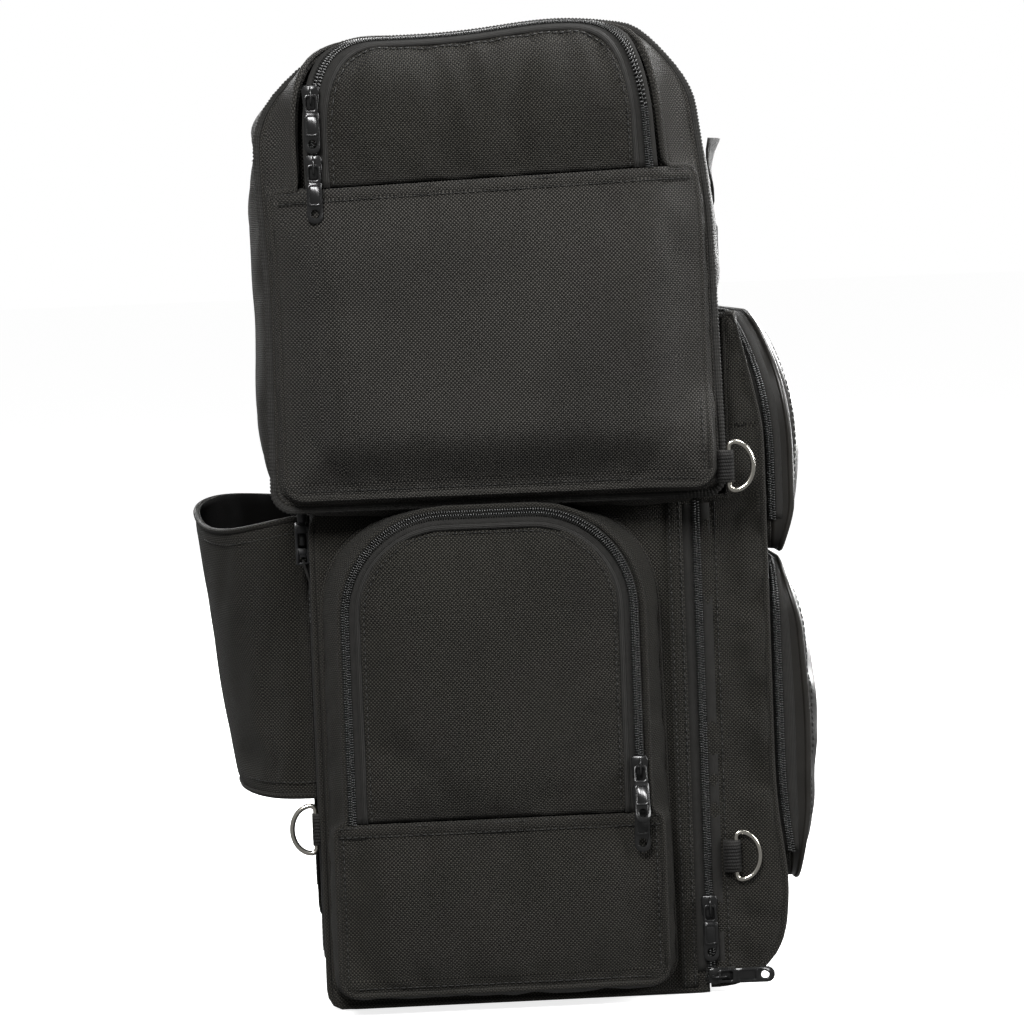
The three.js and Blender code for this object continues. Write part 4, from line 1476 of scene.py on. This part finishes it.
def make_roll():
    """The roll bag's own pieces; returns the surface of its shell."""
    ring = spaced(roll_outline(), 8, True)
    shoulder = np.linspace(ROLL_ZIP_X, ROLL_HALF, 6)[1:]
    stations = np.concatenate([-shoulder[::-1], np.linspace(-ROLL_ZIP_X, ROLL_ZIP_X, 42), shoulder])
    for y in (ROLL_ZIP_FRONT, LID_REAR):
        at = min(range(len(ring)), key=lambda i: abs(ring[i][0] - y) + 10 * abs(ring[i][1] - ROLL_TOP))
        ring[at][0] = y
    middle = np.array((0, 4, 457))
    seams = [[(-ROLL_HALF, y, z), (ROLL_HALF, y, z)] for y, z in ((-132, 552), (142, 534))]
    wrap = soft_band(
        "roll_body", ring, swept_x, stations, lambda p: (p - middle) * np.array((0, 1, 1)),
        closed=True, cap=8, pressure=8, slack=0.04, dents=3.4, puckers=1.8, seed=61, seams=seams,
        keep=lambda p: not (abs(p[0]) < ROLL_ZIP_X and ROLL_ZIP_FRONT < p[1] < LID_REAR and p[2] > 590),
        limit=roll_limit,
    )
    place(wrap, "roll_bag", ["roll_shell"], 0.6)
    for side, sign in SIDES:
        roll_end(side, sign)
    skin = surface(wrap)
    roll_lid()
    roll_seams(skin)
    return skin


def roll_end(side, sign):
    """A flat end wall with a ribbed cord round it."""
    x = sign * ROLL_HALF
    out = np.array((sign, 0.0, 0.0))
    end = soft_panel(
        f"roll_end_{side}", roll_outline(), at_x(x), out,
        step=9, cap=0.5, sim=False, dents=0.3, seed=63 + sign,
    )
    place(end, "roll_bag", (), 0.5)
    cord = Parts()
    rim = spaced(on_x(x - sign * 0.5, roll_outline()), RIB_STEP / 4, True)
    tube(cord, rim, 2.2, out, True, ridge=0.28)
    place(cord.make(f"roll_end_piping_{side}", "binding", own_uv=True), "roll_bag")


def roll_lid():
    """The lid over the top opening, its zip on three sides, and its thread."""
    up = np.array((0.0, 0.0, 1.0))
    lid = soft_panel(
        "roll_lid_cloth", arch(-149.4, 149.4, -69.4, LID_REAR, 16, 16), lambda a, b: (a, b, ROLL_TOP), up,
        step=8, cap=7, pressure=9, slack=0.03, dents=1.6, seed=67,
    )
    place(lid, "roll_lid", ["roll_lid"], 0.55)
    track = legs_over(-ROLL_ZIP_X, ROLL_ZIP_X, -LID_REAR + 4, -ROLL_ZIP_FRONT, 20, 8)
    track = on_z(ROLL_TOP, track * np.array((1, -1)))
    zip_half("roll_zip_outer", track, up, -1, "roll_bag", tape=10)
    zip_half("roll_zip_inner", track, up, 1, "roll_lid", tape=14)
    line = spaced(on_z(ROLL_TOP, arch(-143, 143, -63, LID_REAR - 6, 12, 12)), 4, True)
    seam_thread("roll_lid_thread", [(laid_on(line, up, surface(lid), 0.3), up)], "roll_lid", True)


def roll_seams(skin):
    """Double rows of thread along the shell, front and rear."""
    lines = []
    for y, z in ((-131, 556), (-131, 548), (141.5, 538), (141.5, 530)):
        out = np.array((0, math.copysign(1, y), 0.0))
        line = np.array([(x, y, z) for x in np.linspace(-ROLL_HALF + 4, ROLL_HALF - 4, 90)])
        lines.append((laid_on(line, out, skin, 0.3), out))
    seam_thread("roll_seam_thread", lines, "roll_bag")


# ---- sleeve over the sissy bar ----
SLEEVE_HALF = 110
SLEEVE_LOW = 126
SLEEVE_TOP = 306
SLEEVE_OUT_LOW = 51
SLEEVE_OUT_HIGH = 74
SLEEVE_TILT = (9.0, 4.0)  # how far the opening's left edge hangs down, and its right edge stands up
SLEEVE_THICK = 2.4


def sleeve_point(turn, z):
    share = (z - SLEEVE_LOW) / (SLEEVE_TOP - SLEEVE_LOW)
    reach = SLEEVE_OUT_LOW + (SLEEVE_OUT_HIGH - SLEEVE_OUT_LOW) * share
    bow = math.sin(turn) ** 0.7
    z -= SLEEVE_TILT[0 if turn < math.pi / 2 else 1] * share * math.sin(2 * turn)
    return np.array((-SLEEVE_HALF * math.cos(turn), MAIN_BACK + 2.6 + (reach - 3) * bow, z))


def make_sleeve():
    turns = np.linspace(0, math.pi, 49)
    heights = np.linspace(SLEEVE_LOW, SLEEVE_TOP, 25)
    verts = np.array([sleeve_point(t, z) for z in heights for t in turns])
    faces = facing(verts, grid(len(heights), len(turns)), lambda p: np.array((0, 1.0, 0)))
    sleeve = make("sleeve_cloth", verts, faces, "nylon")
    soften(sleeve, cap=2.5, pressure=3, slack=0.01, dents=2.2, puckers=0.8, seed=71)
    # The inner face takes the near-black lining: painted shade inside the sleeve.
    thickened(sleeve, SLEEVE_THICK, "sleeve_lining_painted_shade")
    place(sleeve, "main_bag", ["sissy_bar_sleeve"])
    arcs = [lengths(np.array([sleeve_point(t, z) for t in turns]))[-1] for z in (SLEEVE_LOW, SLEEVE_TOP)]
    hems, threads = [], []
    for z, turn_out in ((SLEEVE_LOW + 1, -1), (SLEEVE_TOP - 1, 1)):
        rim = np.array([sleeve_point(t, z) for t in turns])
        hems.append((rim, np.array((0, 0, 1.0))))
        inner = np.array([sleeve_point(t, z - turn_out * 9) for t in turns])
        out = np.array([unit(np.array((p[0] * 0.5, p[1] - MAIN_BACK, 0))) for p in inner])
        threads.append(inner + out * 0.8)
    rims = piping("sleeve_hem", hems, "main_bag", 1.9, closed=False)
    away = lambda path, ahead: np.cross(ahead, (0, 0, 1.0)) * -1
    thread = seam_thread("sleeve_thread", [(line, away) for line in threads], "main_bag")
    for side, sign in SIDES:
        edge = [(sign * (SLEEVE_HALF + 5), MAIN_BACK + 1.4, z) for z in (SLEEVE_LOW, SLEEVE_TOP)]
        ribbon(f"sleeve_flange_{side}", edge, RIGHT, 14, 2.2, "main_bag", paint="binding")


# ---- straps and buckles ----
WEB_WIDTH = 25
WEB_THICK = 1.8
BOX_HALF = 9
STRAP_TAIL = ((0, 7), (3.5, 13), (5, 24), (4.2, 36), (6.5, 46), (10, 54))  # out from the plug, and up from it
TAIL_TWIST = 22  # degrees


def box_stitch(name, middle, out, body):
    """A sewn square with a cross in it, as holds a strap's end."""
    m = np.asarray(middle, float)
    corners = [m + np.array((a, 0, b)) * BOX_HALF for a, b in SQUARE]
    parts = Parts()
    for p, q in ((0, 1), (1, 2), (2, 3), (3, 0), (0, 2), (1, 3)):
        stitches(parts, np.array([corners[p], corners[q]]), out, long=2.4, gap=1.0)
    return place(parts.make(name, "thread"), body)


def web(name, path, body, replaces=(), **ways):
    return ribbon(name, path, RIGHT, WEB_WIDTH, WEB_THICK, body, replaces, **ways)


def make_front_strap(side, sign, roll_skin):
    x, y, z = (sign * FRONT_BUCKLE[0], *FRONT_BUCKLE[1:])
    front = np.array((0, -1.0, 0))
    roof = MAIN_TOP + 1.2
    rise = [(-60, roof), (-136, roof), (-139.2, MAIN_TOP + 4), (-139.5, 330)]
    rise += [(-139.6, z - 8), (y + 1, z - 0.5), (y - 0.5, z + 3.6)]
    web(f"front_strap_lower_web_{side}", on_x(x, rise), "main_bag", [f"front_strap_lower_{side}"])
    plug = z + SOCKET_TALL
    climb = laid_on(on_x(x, [(-131, b) for b in np.linspace(plug + 26, 545, 12)]), front, roll_skin, 1.0)
    up = [(x, y, plug + 7.5), (x, y + 1.4, plug + 12), *climb]
    web(f"front_strap_upper_web_{side}", up, "roll_bag", [f"front_strap_upper_{side}"])
    tail = [(y - out, plug + up) for out, up in STRAP_TAIL]
    web(f"front_strap_tail_{side}", on_x(x, tail), "roll_bag", twist=sign * TAIL_TWIST)
    box_stitch(f"front_strap_box_{side}", climb[-3] + front * 1.1, front, "roll_bag")
    buckle_socket(f"front_buckle_socket_{side}", (x, y, z), "main_bag", f"front_socket_{side}")
    buckle_plug(f"front_buckle_plug_{side}", (x, y, z), "roll_bag", f"front_plug_{side}")


def make_rear_strap(side, sign):
    x, y, z = (sign * REAR_BUCKLE[0], *REAR_BUCKLE[1:])
    rise = [(MAIN_BACK + 1.5, 30), (MAIN_BACK + 1.5, z - 12), (y - 0.5, z), (y, z + 3.5)]
    web(f"rear_strap_web_{side}", on_x(x, rise), "main_bag", [f"rear_strap_{side}"])
    back = np.array((0, 1.0, 0))
    for height in (44, 250):
        box_stitch(f"rear_strap_box_{side}_{height}", (x, MAIN_BACK + 2.5, height), back, "main_bag")
    buckle_socket(f"rear_buckle_socket_{side}", (x, y, z), "main_bag", f"rear_socket_{side}")
    buckle_plug(f"rear_buckle_plug_{side}", (x, y, z), "roll_bag", f"rear_plug_{side}")
    top = z + SOCKET_TALL + 7
    loop = on_x(x, [(y, top), (y + 1.2, top + 5), (132, ROLL_LOW + 1.5)])
    web(f"rear_strap_upper_web_{side}", loop, "roll_bag", settles=False)


def make_straps(roll_skin):
    for side, sign in SIDES:
        make_front_strap(side, sign, roll_skin)
        make_rear_strap(side, sign)


make_main()
make_door()
main_zip()
make_pockets("side_pocket", "side_flap", "main_bag", SIDE_POCKET)
make_front_pockets()
ROLL_SKIN = make_roll()
make_pockets("end_pocket", "end_flap", "roll_bag", END_POCKET)
make_sleeve()
make_straps(ROLL_SKIN)
make_rings()
make_sliders()
settle()
